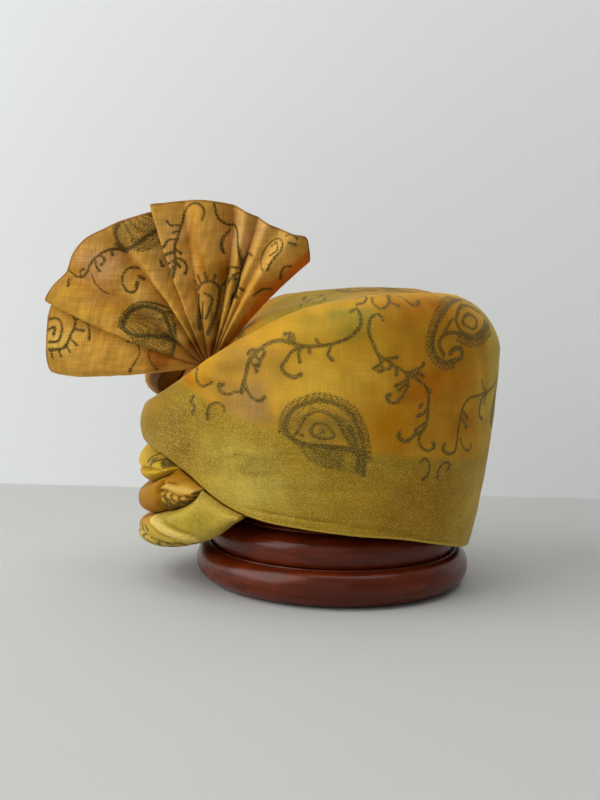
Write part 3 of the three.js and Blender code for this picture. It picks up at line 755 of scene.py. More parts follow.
CROWN_PATCHES = (  # place along, place across, reach along, reach across, colour
    (-70, -60, 40, 30, (172, 122, 20)), (-10, -75, 40, 20, (160, 138, 52)),
    (30, -20, 45, 35, (166, 118, 20)), (-20, 30, 45, 30, (150, 130, 42)), (60, 40, 40, 40, (172, 118, 14)),
    (-70, 0, 26, 60, (176, 120, 22)), (-112, -10, 22, 50, (150, 78, 8)),
)
CROWN_PRINTS = (  # block, place along, place across, turn, size, flip
    ("curl", -60, -70, 20, 0.8, 1),
    ("paisley", 20, -10, 20, 0.9, 1), ("long", 0, 35, -10, 0.9, 1), ("curl", 62, 22, 140, 1.2, -1),
    ("turning", -50, 20, 60, 0.8, 1),
)
CROWN_MARKS = (  # half width, points along and across
    (1.2, ((-27, -73), (-23, -64), (-17, -48), (-13, -30))), (1.1, ((-21, -60), (-25, -44), (-24, -30))),
    (1.1, ((-17, -48), (-12, -52), (-11, -62), (-14, -70))), (1.0, ((-24, -66), (-18, -70))),
)
crown_places = front_and_back(crown_outer, crown_inner)[:, :2]
crown_show = crown_outer[..., 0].size
crown_gaps = print_gap(crown_places, CROWN_PRINTS, CROWN_MARKS)
crown_gaps[crown_show:] = INK_REACH
crown_colours = dye_and_shade_colours(crown_places, CROWN_GROUND, CROWN_PATCHES)
none = np.zeros(len(crown_places))
dress(crown, crown_places, crown_colours, crown_gaps, none, none + INK_REACH)
crown.data.materials.append(silk_material("crown_silk", ink_strength=0.8, glitter=0.9))
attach(crown, "root")
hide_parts("crown_wrap")


# Outer winding: one broad length of printed silk with a gold tissue border along its lower selvedge.
# It goes once round the crown, is rolled over the forehead and gathered to a point that holds the fan.
BAND = (  # turn, lower edge, upper edge, bulge of the forehead roll, pocket behind the upper edge
    (-44, 103, 106, 3, 0), (-30, 99, 113, 9, 0), (-15, 95, 119.5, 13, 0), (0, 92.5, 124, 15, 0),
    (13, 91.5, 128, 14, 0), (27, 87, 136.5, 8, 4), (38, 79, 146, 3, 8.5), (48, 69, 160, 1.5, 6.5),
    (56, 62, 174, 1, 1), (66, 56.5, 188, 1, 0), (79, 53, 204, 1, 0), (95, 49.5, 213, 1, 0),
    (115, 46, 216, 1, 0), (135, 39, 214, 1, 0), (157, 31, 207, 1, 0), (180, 26.5, 201, 1, 0),
    (203, 31, 199, 1, 0), (225, 39, 199, 1, 0), (245, 46, 199, 1, 0), (265, 50, 196, 1, 0),
    (280, 56, 189, 1, 0), (292, 67, 181, 1, 0), (302, 82, 175, 1.5, 0), (312, 99, 164, 3, 0),
    (335, 110, 154, 11, 0), (350, 121, 148, 18, 0), (362, 126, 145, 18, 0), (372, 128, 141, 9, 0),
)
LAYER_GAP = 0.3
LAYER_EASE = 0.6
BAND_WALL = 2.4
BAND_LEAST_RISE = 0.8
BAND_RIPPLE = 0.35
CREASE_SHARE = 0.66
ROLL_FULLNESS = 0.7
EDGE_ROUND = 1.3
EDGE_ROUND_PER_BULGE = 0.23
EDGE_MOST_SHARE = 0.45
EDGE_ROWS = 7
BAND_COLUMNS = 620
BAND_ROWS = 124
BACK = np.s_[:, 8:-8:8]  # rows of the outside that the back repeats
GATHER = (41, 153)
GATHER_FOLDS = ((14, 1.4), (-18, 1.6), (-48, 1.4), (-76, 1))  # slope from level in degrees, height
GATHER_FOLD_SPREAD = 10
GATHER_FOLD_DISTANCE = 26
CLOTH_PER_DEGREE = 1.65
BORDER_TOP = (  # turn, height where the border gives way to the printed ground
    (-44, 140), (20, 145), (31, 143), (37, 141), (43, 136), (53, 127), (71, 117), (99, 105), (120, 100.5),
    (161, 91), (180, 84), (203, 86), (245, 97), (280, 107), (302, 112), (320, 106), (372, 100),
)
BORDER_EDGE = 0.8
HEM_LINE = (  # turn, height over the edge
    (0, 1), (52, 2.5), (64, 6), (90, 7.5), (114, 5), (131, 2.4), (150, 1.5), (372, 1.5),
)
HEM_DEPTH = 1.8
HEM_WIDTH = 0.8
HEM_TURNS = (58, 140)
HEM_FADE = 12
BAND_CREASE = {"up": 79, "width": 2.2, "depth": 1.0, "along": 182, "reach": 34}
SELVEDGE_SHARE = 0.35  # how far round the rolled edge the gold line lies
ROLL_LINE = {"along": 25, "up": 100, "slope": 1.02}  # where the plain roll meets the border
ROLL_EDGE = 4
ROLL_PLAINNESS = 0.75
band_low, band_high, band_bulge, band_pocket = (smooth_curve(BAND, column) for column in (1, 2, 3, 4))
border_top = smooth_curve(BORDER_TOP, 1)
hem_line = smooth_curve(HEM_LINE, 1)
LENGTH_TURNS = np.arange(-90, 390.5, 0.5)
LENGTH_CLIMB = 105
LENGTH_LIFT = 3
length_steps = np.linalg.norm(np.diff(cloth_point(LENGTH_TURNS, LENGTH_CLIMB, LENGTH_LIFT), axis=0), axis=1)
lengths = np.concatenate([[0], np.cumsum(length_steps)])


def cloth_length(turn):
    """Length of cloth from the middle of the forehead round to a turn."""
    return np.interp(turn, LENGTH_TURNS, lengths) - np.interp(0, LENGTH_TURNS, lengths)


def rolled(share):
    return CREASE_SHARE + (1 - CREASE_SHARE) * np.maximum(np.sin(math.pi * share), 0) ** ROLL_FULLNESS


def strip_rows(low, high, edge, rows):
    """Heights of a strip's rows by column, close together round its two edges, and how full it is there."""
    edge = np.minimum(edge, EDGE_MOST_SHARE * (high - low))
    round_over = np.linspace(0, math.pi / 2, EDGE_ROWS)
    start = low + edge * (1 - np.cos(round_over))
    middle = low + edge + (high - low - 2 * edge) * np.linspace(0, 1, rows)[1:-1]
    end = (high - edge * (1 - np.cos(round_over)))[:, ::-1]
    full = np.concatenate([np.sin(round_over), np.ones(rows - 2), np.sin(round_over)[::-1]])
    return np.concatenate([start, middle, end], axis=1), np.broadcast_to(full, (len(low), len(full)))


def soft_ridge(value, middle, width, height=1.0):
    return height * np.exp(-(((value - middle) / width) ** 2))


def soft_step(value, middle, width):
    """Share that goes softly from 1 under the middle to 0 over it."""
    return 1 / (1 + np.exp((value - middle) / width))


def gather_rise(turn, climb):
    """Height of the small folds that run out from the gathered point."""
    along, up = (turn - GATHER[0]) * CLOTH_PER_DEGREE, climb - GATHER[1]
    slope = np.degrees(np.arctan2(up, along))
    distance = np.hypot(along, up) / GATHER_FOLD_DISTANCE
    folds = sum(soft_ridge(slope, at, GATHER_FOLD_SPREAD, height) for at, height in GATHER_FOLDS)
    return distance * np.exp(1 - distance) * folds


band_start = BAND[0][0]
band_turns = np.linspace(band_start, BAND[-1][0], BAND_COLUMNS)[:, None]
over_left_end = band_turns - 360 >= band_start
band_lows = np.where(over_left_end, band_high(band_turns - 360) + LAYER_GAP, band_low(band_turns))
band_highs = band_high(band_turns)
band_edge = EDGE_ROUND + EDGE_ROUND_PER_BULGE * band_bulge(band_turns)
band_climbs, band_full = strip_rows(band_lows, band_highs, band_edge, BAND_ROWS)
band_along = cloth_length(band_turns) + 0 * band_climbs
band_share = (band_climbs - band_lows) / (band_highs - band_lows)
band_base = LAYER_EASE + band_pocket(band_turns) * band_share**2
band_swell = BAND_WALL + band_bulge(band_turns) * rolled(band_share) + gather_rise(band_turns, band_climbs)
over_edge = band_climbs - band_lows
hem_start = np.clip((band_turns - HEM_TURNS[0]) / HEM_FADE, 0, 1)
hem_end = np.clip((HEM_TURNS[1] - band_turns) / HEM_FADE, 0, 1)
hem = soft_ridge(over_edge, hem_line(band_turns), HEM_WIDTH, HEM_DEPTH) * (hem_start * hem_end)
crease = soft_ridge(band_climbs, BAND_CREASE["up"], BAND_CREASE["width"], BAND_CREASE["depth"])
crease = crease * soft_ridge(band_along, BAND_CREASE["along"], BAND_CREASE["reach"])
wrinkles = hem + crease + soft_ripple(band_along, band_climbs, BAND_RIPPLE, seed=11)
band_rise = band_base + np.maximum(band_swell - wrinkles, BAND_LEAST_RISE) * band_full
band_outer = cloth_point(band_turns, band_climbs, band_rise)
band_inner = cloth_point(band_turns, band_climbs, band_base)[BACK]
band = cloth_piece("outer_winding", band_outer, band_inner)
BAND_GROUND = (198, 148, 38)
BORDER_GOLD = (158, 124, 20)
BAND_DYE_AND_SHADE_PATCHES = (  # cloth along, cloth up, reach along, reach up, colour
    (72, 147, 16, 8, (186, 118, 6)), (115, 132, 22, 13, (168, 130, 70)), (112, 160, 16, 14, (178, 134, 58)),
    (160, 150, 28, 16, (218, 172, 56)), (160, 117, 24, 13, (150, 122, 42)),
    (170, 190, 28, 12, (150, 132, 44)), (205, 118, 20, 13, (182, 122, 8)),
    (232, 150, 28, 24, (176, 104, 4)), (225, 196, 26, 14, (162, 98, 2)), (262, 118, 18, 16, (180, 118, 8)),
    (262, 170, 16, 18, (182, 122, 10)), (302, 150, 20, 60, (190, 164, 58)), (345, 140, 24, 30, (182, 120, 8)),
    (372, 185, 26, 18, (186, 140, 40)), (398, 120, 24, 22, (172, 148, 52)), (425, 165, 26, 22, (176, 104, 6)),
    (462, 130, 24, 24, (180, 138, 62)), (480, 180, 26, 16, (164, 142, 46)), (520, 145, 26, 24, (182, 120, 8)),
    # Painted shade: the last patch on the next line and the patch after it darken the far end of the cloth,
    # in the shaded hollow behind the forehead roll and under the fan.
    (562, 165, 24, 18, (194, 148, 40)), (600, 140, 30, 24, (170, 100, 8)), (654, 140, 16, 22, (154, 94, 8)),
    (682, 138, 13, 26, (64, 26, 1)),
)
BORDER_PATCHES = (
    (20, 110, 30, 30, (152, 116, 6)), (58, 104, 22, 24, (134, 99, 5)), (104, 100, 22, 14, (180, 156, 62)),
    (116, 76, 34, 14, (186, 162, 66)), (110, 92, 20, 3.5, (144, 122, 36)), (190, 72, 30, 16, (166, 128, 20)),
    (240, 70, 36, 30, (154, 108, 4)), (300, 60, 30, 40, (190, 152, 18)), (420, 60, 60, 30, (172, 140, 34)),
    (560, 90, 60, 30, (178, 148, 46)),
)
BAND_PRINTS = (  # block, cloth along, cloth up, turn, size, flip
    ("long", 145, 165, 0, 1, 1), ("turning", 210, 152, 0, 1, 1), ("short", 262, 122, 0, 1, 1),
    ("paisley", 163, 118, 0, 1, 1), ("hooked", 262, 181, 0, 1, 1),
    ("paisley", 330, 122, 8, 1, 1), ("long", 372, 168, 6, 1, -1), ("turning", 430, 152, 0, 1, 1),
    ("hooked", 482, 181, 0, 1, 1), ("short", 482, 122, 0, 1, 1), ("curl", 385, 120, 30, 1.2, -1),
    ("long", 540, 164, -4, 1, -1), ("paisley", 540, 122, 10, 1, -1), ("turning", 595, 150, 4, 0.95, -1),
    ("sprig", 312, 198, 180, 1.1, 1), ("curl", 390, 84, 170, 0.8, 1), ("curl", 500, 100, 170, 0.8, -1),
    ("sprig", 416, 198, 170, 1.1, -1),
)
INSIDE_ORANGE = (150, 84, 16)
BAND_MARKS = (  # half width, points along and up the cloth
    (1.1, ((183, 208), (190, 212), (187, 202), (182, 200))),
    (1.1, ((194, 208), (193, 200), (197, 196), (201, 198), (207, 209))),
    (1.1, ((207, 209), (205, 201), (209, 198))),
    (1.1, ((214, 208), (217, 203), (218, 199), (222, 199), (226, 202))),
    (1.1, ((227, 98), (230, 100), (234, 96), (234, 90), (230, 86))),
    (1.1, ((242, 86), (242, 91), (247, 96), (252, 94), (251, 91))),
    (1.1, ((96, 127), (95, 130), (90, 132), (86, 130), (84, 124), (84, 121))),
    (1.0, ((76, 151), (76, 146), (81, 142), (86, 145))),
    (1.1, ((74, 135), (71, 131), (74, 128), (72, 123))),
)
from_selvedge = over_edge - SELVEDGE_SHARE * band_edge + np.where(over_left_end, INK_REACH, 0)
band_points = np.stack([band_along, band_climbs], -1)
band_places = front_and_back(band_points, band_points[BACK])
band_show = band_climbs.size
band_gaps = print_gap(band_places, BAND_PRINTS, BAND_MARKS)
band_gaps[band_show:] = INK_REACH
border_share = soft_step(band_climbs, border_top(band_turns), BORDER_EDGE)
border_all = front_and_back(border_share, border_share[BACK])
roll_end = ROLL_LINE["along"] + ROLL_LINE["slope"] * (band_places[:, 1] - ROLL_LINE["up"])
smooth_roll = soft_step(band_places[:, 0], roll_end, ROLL_EDGE)
band_colours = dye_and_shade_colours(band_places, BAND_GROUND, BAND_DYE_AND_SHADE_PATCHES)
gold_colours = dye_and_shade_colours(band_places, BORDER_GOLD, BORDER_PATCHES)
band_colours = band_colours + (gold_colours - band_colours) * border_all[:, None]
band_colours[band_show:] = linear(*INSIDE_ORANGE)
border_all[band_show:] = 0
border_all = border_all * (1 - ROLL_PLAINNESS * smooth_roll)
band_selvedge = front_and_back(from_selvedge, np.full_like(from_selvedge[BACK], INK_REACH))
dress(band, band_places, band_colours, band_gaps, border_all, band_selvedge)
band.data.materials.append(silk_material("printed_silk", ink_strength=0.82, glitter=0.9))
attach(band, "root")
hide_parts("outer_wrap")


# Forehead folds: three more turns of the same silk, laid in rolled folds, one under the other.
# Each is tucked under the one above, and their ends cross beneath the outer winding at the temples.
FOLD_EDGES = (  # turn, lower edge of the second, third and fourth fold
    (-76, 92, 84, 62), (-64, 92, 80, 52), (-56, 92, 71, 44), (-45, 84, 60, 35), (-30, 73, 49, 27.5),
    (-15, 66.5, 43.5, 22.5), (0, 65, 42.5, 20.5), (12, 68, 46, 23), (24, 76, 52, 26.5), (34, 83, 57.5, 30.5),
    (40, 84, 63.5, 34), (46, 84, 72.5, 38), (52, 84, 76, 44.5), (58, 84, 76, 54), (64, 84, 76, 60),
)
FOLD_LEAST_HEIGHT = 1.2
FOLD_FULL_HEIGHT = 20
FOLD_LEAST_RISE = 0.6
FOLD_RIPPLE = 0.5
FOLD_RISE = 15.5
FOLD_TIP_RISE = 2.6
FOLD_FADE = 84
FOLD_COLUMNS = 230
FOLD_ROWS = 66
FOLD_ROUND_SHARE = 0.28
FOLD_LEAST_FULL = 0.42
STRIP_EDGE = 0.3
TISSUE_START_EDGE = 3
TISSUE_EDGE = 1.2
FOLDS = (
    {
        "name": "second_fold", "node": "fold_second", "from": -52, "to": 32, "flat": (0.040, 0.13),
        "creases": (  # depth, half width, points along and up the cloth
            (4.5, 1.5, ((-62, 96), (-30, 83), (0, 76), (18, 77), (36, 80), (50, 82), (59, 86))),
        ),
        "ground": (192, 154, 22),
        "tissue": (0.1, 0, 60, 0),  # share, start along the cloth, lower edge up it, slope of that edge
        "strips": (),  # half width, colour, points along and up the cloth
        "patches": (  # cloth along, cloth up, reach along, reach up, colour
            (30, 88, 16, 6, (186, 152, 44)), (10, 70, 30, 5, (180, 142, 20)),
            (-30, 82, 30, 10, (190, 150, 50)),
        ),
        "prints": (("curl", -40, 84, 30, 0.9, 1), ("curl", -12, 86, 80, 0.9, -1)),
        "marks": (  # half width, points along and up the cloth
            (1.3, ((40, 94), (42, 89), (38, 84))), (1.3, ((46, 92), (47, 87), (52, 85))),
            (1.2, ((51, 90), (56, 88))), (1.2, ((32, 90), (33, 85))), (1.2, ((42, 89), (46, 87))),
            (1.2, ((36, 87), (40, 86))),
        ),
    },
    {
        "name": "third_fold", "node": "fold_third", "from": -60, "to": 44, "flat": (0.040, 0.16),
        "creases": (
            (5.0, 1.9, ((51, 78), (47, 69), (48, 62), (44, 52), (42, 44))),
            (3.0, 1.0, ((48, 72), (59, 74), (70, 74.5), (80, 74.5), (86, 74))),
            (3.4, 1.0, ((47, 67), (56, 69), (66, 67), (75, 68.5), (82, 71))),
            (4.0, 1.9, ((-50, 82), (-46, 72), (-47, 62), (-42, 50))),
        ),
        "ground": (156, 106, 3), "tissue": (0.05, 0, 40, 0),
        "strips": ((1.7, (204, 164, 76), ((53, 73), (62, 72), (70, 72), (77, 72), (84, 73))),),
        "patches": (
            (66, 78, 16, 4, (176, 120, 8)), (62, 63, 15, 7, (204, 160, 56)),
            (20, 60, 18, 14, (154, 104, 2)), (-44, 62, 24, 12, (190, 150, 56)),
        ),
        "prints": (("curl", -46, 62, 30, 1, -1),),
        "marks": (
            (1.4, ((50, 69), (49, 63), (53, 58))), (1.3, ((55, 68), (55, 62), (60, 58))),
            (1.2, ((60, 67), (62, 63), (67, 62))), (1.2, ((66, 67), (67, 64), (72, 64))),
            (1.2, ((72, 68), (77, 67))), (1.1, ((49, 57), (56, 57), (62, 60))),
            (1.2, ((53, 65), (58, 63))), (1.1, ((78, 71), (85, 72.5))),
        ),
    },
    {
        "name": "fourth_fold", "node": "fold_fourth", "from": -72, "to": 60, "flat": (0.036, 0.22),
        "creases": (
            (4.4, 1.4, ((30, 56), (36, 51), (48, 47.5), (59, 45), (69, 43), (78, 41))),
            (3.6, 1.2, ((28, 44), (39, 41), (50, 38), (61, 36.3), (75, 36))),
            (2.6, 1.2, ((-20, 36), (4, 33), (24, 34), (40, 32), (56, 31))),
            (3.6, 1.5, ((-70, 52), (-52, 44), (-36, 40), (-20, 40))),
        ),
        "ground": (180, 150, 56), "tissue": (0.7, 40, 62, -0.27),
        "strips": ((2.8, (216, 188, 98), ((36, 46), (44, 44.5), (54, 41.8), (64, 39.7), (75, 38.2))),),
        "patches": (
            (70, 54, 34, 12, (164, 142, 38)), (20, 46, 14, 6, (176, 112, 28)),
            (20, 26, 40, 4, (188, 160, 84)), (-50, 44, 30, 14, (190, 156, 56)),
        ),
        "prints": (("long", -46, 42, 30, 0.6, 1),),
        "marks": (
            (1.2, ((8, 38), (15, 37), (12, 32))), (1.2, ((22, 40), (28, 36), (25, 31))),
            (1.1, ((34, 33), (44, 32), (39, 27))), (1.2, ((47, 33), (56, 32))),
            (1.2, ((60, 34), (67, 33), (65, 30))), (1.1, ((72, 34.5), (79, 36), (86, 38))),
            (1.2, ((10, 49), (18, 47), (14, 42))), (1.2, ((22, 50), (30, 47))), (1.1, ((0, 40), (6, 40))),
            (1.1, ((28, 30), (33, 26))), (1.1, ((50, 29), (57, 28))), (1.0, ((30, 40), (35, 38))),
        ),
    },
)
fold_edges = [smooth_curve(FOLD_EDGES, column) for column in (1, 2, 3)]


def cloth_edge(level, turn):
    """Lower edge of the cloth on the forehead: level 0 is the outer winding, then one level for each fold."""
    if level == 0:
        return np.where(turn < band_start, band_low(turn + 360), band_low(turn))
    fold = FOLDS[level - 1]
    above = cloth_edge(level - 1, turn)
    own = np.minimum(fold_edges[level - 1](turn), above - LAYER_GAP - FOLD_LEAST_HEIGHT)
    inside = (turn >= fold["from"]) & (turn <= fold["to"])
    return np.where(inside, own, above)


fold_silk = silk_material("fold_silk", ink_strength=0.86, glitter=0.5)
for level, fold in enumerate(FOLDS, start=1):
    fold_turns = np.linspace(fold["from"], fold["to"], FOLD_COLUMNS)[:, None]
    fold_lows = cloth_edge(level, fold_turns)
    fold_highs = cloth_edge(level - 1, fold_turns) - LAYER_GAP
    fold_heights = fold_highs - fold_lows
    fold_climbs, fold_full = strip_rows(fold_lows, fold_highs, FOLD_ROUND_SHARE * fold_heights, FOLD_ROWS)
    fold_full = FOLD_LEAST_FULL + (1 - FOLD_LEAST_FULL) * fold_full
    fold_share = (fold_climbs - fold_lows) / fold_heights
    fold_along = cloth_length(fold_turns) + 0 * fold_climbs
    fold_swell = np.maximum(np.cos(math.radians(90) * fold_turns / FOLD_FADE), 0)
    fold_rise = FOLD_TIP_RISE + FOLD_RISE * fold_swell * rolled(fold_share)
    fold_size = np.clip(fold_heights / FOLD_FULL_HEIGHT, 0, 1)
    fold_points = np.stack([fold_along, fold_climbs], -1)
    for depth, half_width, points in fold["creases"]:
        apart = ink_gap(fold_points.reshape(-1, 2), [stroke(0, points)]).reshape(fold_along.shape)
        fold_rise = fold_rise - soft_ridge(apart, 0, half_width, depth) * fold_size * fold_swell
    fold_rise = fold_rise - soft_ripple(fold_along, fold_climbs, FOLD_RIPPLE, seed=20 + level) * fold_size
    fold_lift = LAYER_EASE + np.maximum(fold_rise, FOLD_LEAST_RISE) * fold_full
    fold_outer = cloth_point(fold_turns, fold_climbs, fold_lift)
    fold_inner = cloth_point(fold_turns, fold_climbs, LAYER_EASE)[BACK]
    folded = cloth_piece(fold["name"], fold_outer, fold_inner)
    fold_places = front_and_back(fold_points, fold_points[BACK])
    fold_gaps = print_gap(fold_places, fold["prints"], fold["marks"])
    fold_colours = dye_and_shade_colours(fold_places, fold["ground"], fold["patches"])
    for half_width, strip, points in fold["strips"]:
        share = soft_step(ink_gap(fold_places, [stroke(0, points)]), half_width, STRIP_EDGE)
        fold_colours = fold_colours + (np.array(linear(*strip)) - fold_colours) * share[:, None]
    tissue_share, tissue_from, tissue_above, tissue_slope = fold["tissue"]
    tissue_edge = tissue_above + tissue_slope * fold_places[:, 0]
    fold_tissue = tissue_share * soft_step(tissue_from, fold_places[:, 0], TISSUE_START_EDGE)
    fold_tissue = fold_tissue * soft_step(tissue_edge, fold_places[:, 1], TISSUE_EDGE)
    dress(folded, fold_places, fold_colours, fold_gaps, fold_tissue, np.full(len(fold_places), INK_REACH))
    folded.data.materials.append(fold_silk)
    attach(folded, "root")
    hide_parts(fold["node"])


# Fan: the stiffened end of the cloth, pleated to a point and tucked into the pocket of the outer winding.
# Its pleats spread into a fan over the forehead, and two deep folds lie over their neighbours.
FAN_PLEATS = (  # angle at the rim, reach from the gather, depth towards the viewer, lean at the gather
    (188, 90, -2, 4), (186.3, 103, -1, 3), (184.5, 107, 1, 3), (181, 108.3, 2, 3), (172, 109.4, 3, 3),
    (164, 112, -1, 5), (157, 112, -6, 6), (161, 114.6, 5, 5), (156, 113.4, 7, 2), (150, 112.8, -4, -7),
    (142, 113.1, 5, -7), (136, 113.3, 4, -7), (130, 111.5, -4, -7), (124.5, 108.3, 4, -4),
    (117, 105.8, 0, 0), (110, 104.5, -7, 2), (106, 103, -7, 4), (110.5, 108.3, 5, 4), (105, 106.7, 4, 3),
    (99, 105.9, 1, 2), (93, 105.5, 6, -1), (87, 104.7, 4, -3), (82, 103.7, -5, -4), (76, 101.7, 4, -3),
    (72, 100.6, -1, -1), (67, 99.5, 4, 2), (62.5, 99.8, 1, 5), (57, 101.8, 5, 8), (52.7, 104.9, 2, 11),
    (49.7, 99.9, -4, 12), (46.6, 94, -8, 7),
)
FAN_VALLEYS = (9, 12, 19, 22, 24)  # pleat lines pressed into a sharp valley
FAN_VALLEY_DEPTH = 3.4
FAN_VALLEY_WIDTH = 0.22
FAN_VALLEY_FADE = 0.6
FAN_FULLNESS = 1.25
FAN_DEPTH_POWER = 0.65
FAN_DEPTH_START = 1.2
FAN_DEPTH_FADE = 0.35
FAN_RIPPLE = 1.1
FAN_CRINKLE = 0.62
FAN_CRINKLES = (4.2, 5.5, 7, 9, 12)
FAN_RIPPLE_HOLD = 0.85
FAN_FLAP = 29  # pleat line where the right edge folds back
FAN_FLAP_EDGE = 0.125
FAN_GATHER = (-86.3, -67, 155.6)
FAN_GATHER_WIDTH = 13
FAN_GATHER_ANGLE = 112
FAN_YAW = math.radians(10)
FAN_THICKNESS = 1.1
FAN_MEAN_REACH = 106
FAN_STEPS_PER_PLEAT = 13
FAN_ROWS = 92
FAN_ROW_POWER = 0.9
FAN_RIM_ROUND = (0.95, 0.75, 0.0)
STEM = ((140, 2.2), (148, 3.2))  # height up the cloth and lift of the tucked stem
STEM_TURNS = (36, 43)
fan_count = len(FAN_PLEATS) - 1
fan_rows = [(k, *row) for k, row in enumerate(FAN_PLEATS)]
fan_angle, fan_reach, fan_depth, fan_lean = (smooth_curve(fan_rows, column) for column in (1, 2, 3, 4))
fan_line = np.linspace(0, fan_count, fan_count * FAN_STEPS_PER_PLEAT + 1)[:, None]
fan_share = (np.linspace(0, 1, FAN_ROWS) ** FAN_ROW_POWER)[None]
fan_right = np.array([math.cos(FAN_YAW), -math.sin(FAN_YAW), 0])
fan_up = np.array([0.0, 0.0, 1.0])
fan_to_viewer = np.array([-math.sin(FAN_YAW), -math.cos(FAN_YAW), 0])
fan_across = (fan_line / fan_count - 0.5) * FAN_GATHER_WIDTH
bundle = math.radians(FAN_GATHER_ANGLE - 90)
out = 1 - fan_share
fan_radians = np.radians(fan_angle(fan_line) + fan_lean(fan_line) * out)
flat_right = out * fan_across * math.cos(bundle) + fan_share * fan_reach(fan_line) * np.cos(fan_radians)
flat_up = out * fan_across * math.sin(bundle) + fan_share * fan_reach(fan_line) * np.sin(fan_radians)
pressed = sum(soft_ridge(fan_line, line, FAN_VALLEY_WIDTH, FAN_VALLEY_DEPTH) for line in FAN_VALLEYS)
spread = fan_share**FAN_DEPTH_POWER * (FAN_DEPTH_START - FAN_DEPTH_FADE * fan_share)
flat_depth = FAN_FULLNESS * fan_depth(fan_line) * spread
flat_depth = flat_depth - pressed * np.sqrt(fan_share) * (1 - FAN_VALLEY_FADE * fan_share)
fan_ripple = soft_ripple(flat_right, flat_up, FAN_RIPPLE, seed=31)
fan_ripple = fan_ripple + soft_ripple(flat_right, flat_up, FAN_CRINKLE, seed=33, lengths=FAN_CRINKLES)
flat_depth = flat_depth + fan_ripple * np.sqrt(np.sin(math.pi * np.minimum(fan_share, FAN_RIPPLE_HOLD)))
fan_blade = (np.array(FAN_GATHER) + flat_right[..., None] * fan_right + flat_up[..., None] * fan_up
             + flat_depth[..., None] * fan_to_viewer)
stem_turns = STEM_TURNS[0] + (STEM_TURNS[1] - STEM_TURNS[0]) * fan_line / fan_count
fan_stem = cloth_point(stem_turns, np.array([[row[0] for row in STEM]]), np.array([[row[1] for row in STEM]]))
fan_middle = np.concatenate([fan_stem, fan_blade], axis=1)
fan_normal = np.cross(np.gradient(fan_middle, axis=0), np.gradient(fan_middle, axis=1))
fan_normal = -fan_normal / np.maximum(np.linalg.norm(fan_normal, axis=-1, keepdims=True), 1e-9)
fan_thin = np.ones(len(STEM) + FAN_ROWS)
fan_thin[0] = 0
fan_thin[-len(FAN_RIM_ROUND):] = FAN_RIM_ROUND
fan_lift = fan_normal * FAN_THICKNESS / 2 * fan_thin[:, None]
fan_front = fan_middle + fan_lift
fan_behind = (fan_middle - fan_lift)[:, 1:-1]
fan = cloth_piece("pleated_fan", fan_front, fan_behind)
FAN_GROUND = (200, 149, 58)
FAN_DYE_AND_SHADE_PATCHES = (  # place right of the gather, place above it, reach right, reach up, colour
    (-96, 10, 22, 10, (222, 178, 80)), (-68, 8, 14, 8, (206, 150, 56)), (-80, 34, 30, 8, (204, 152, 52)),
    (-74, 62, 14, 14, (204, 152, 92)), (-60, 52, 8, 16, (176, 128, 56)), (-40, 26, 15, 10, (150, 108, 40)),
    (-46, 84, 14, 10, (166, 128, 58)), (-34, 62, 8, 22, (198, 152, 76)), (-20, 78, 6, 20, (200, 148, 84)),
    (-12, 86, 6, 16, (178, 122, 38)), (-8, 50, 5, 20, (182, 126, 52)), (0, 66, 7, 22, (166, 108, 20)),
    (6, 90, 8, 14, (190, 138, 56)), (4, 30, 8, 22, (138, 96, 26)), (24, 84, 12, 16, (208, 160, 96)),
    (46, 72, 16, 18, (216, 164, 76)), (54, 84, 8, 8, (184, 142, 70)), (38, 40, 12, 12, (184, 108, 20)),
    # Painted shade: the first patch on the next line darkens the cloth round the gather, where the deep
    # pleats lie in shade.
    (-4, 10, 20, 14, (104, 54, 4)), (-30, 2, 16, 6, (150, 84, 14)),
)
FAN_FLAP_ORANGE = (186, 94, 14)
FAN_CUT_EDGE = (132, 84, 26)
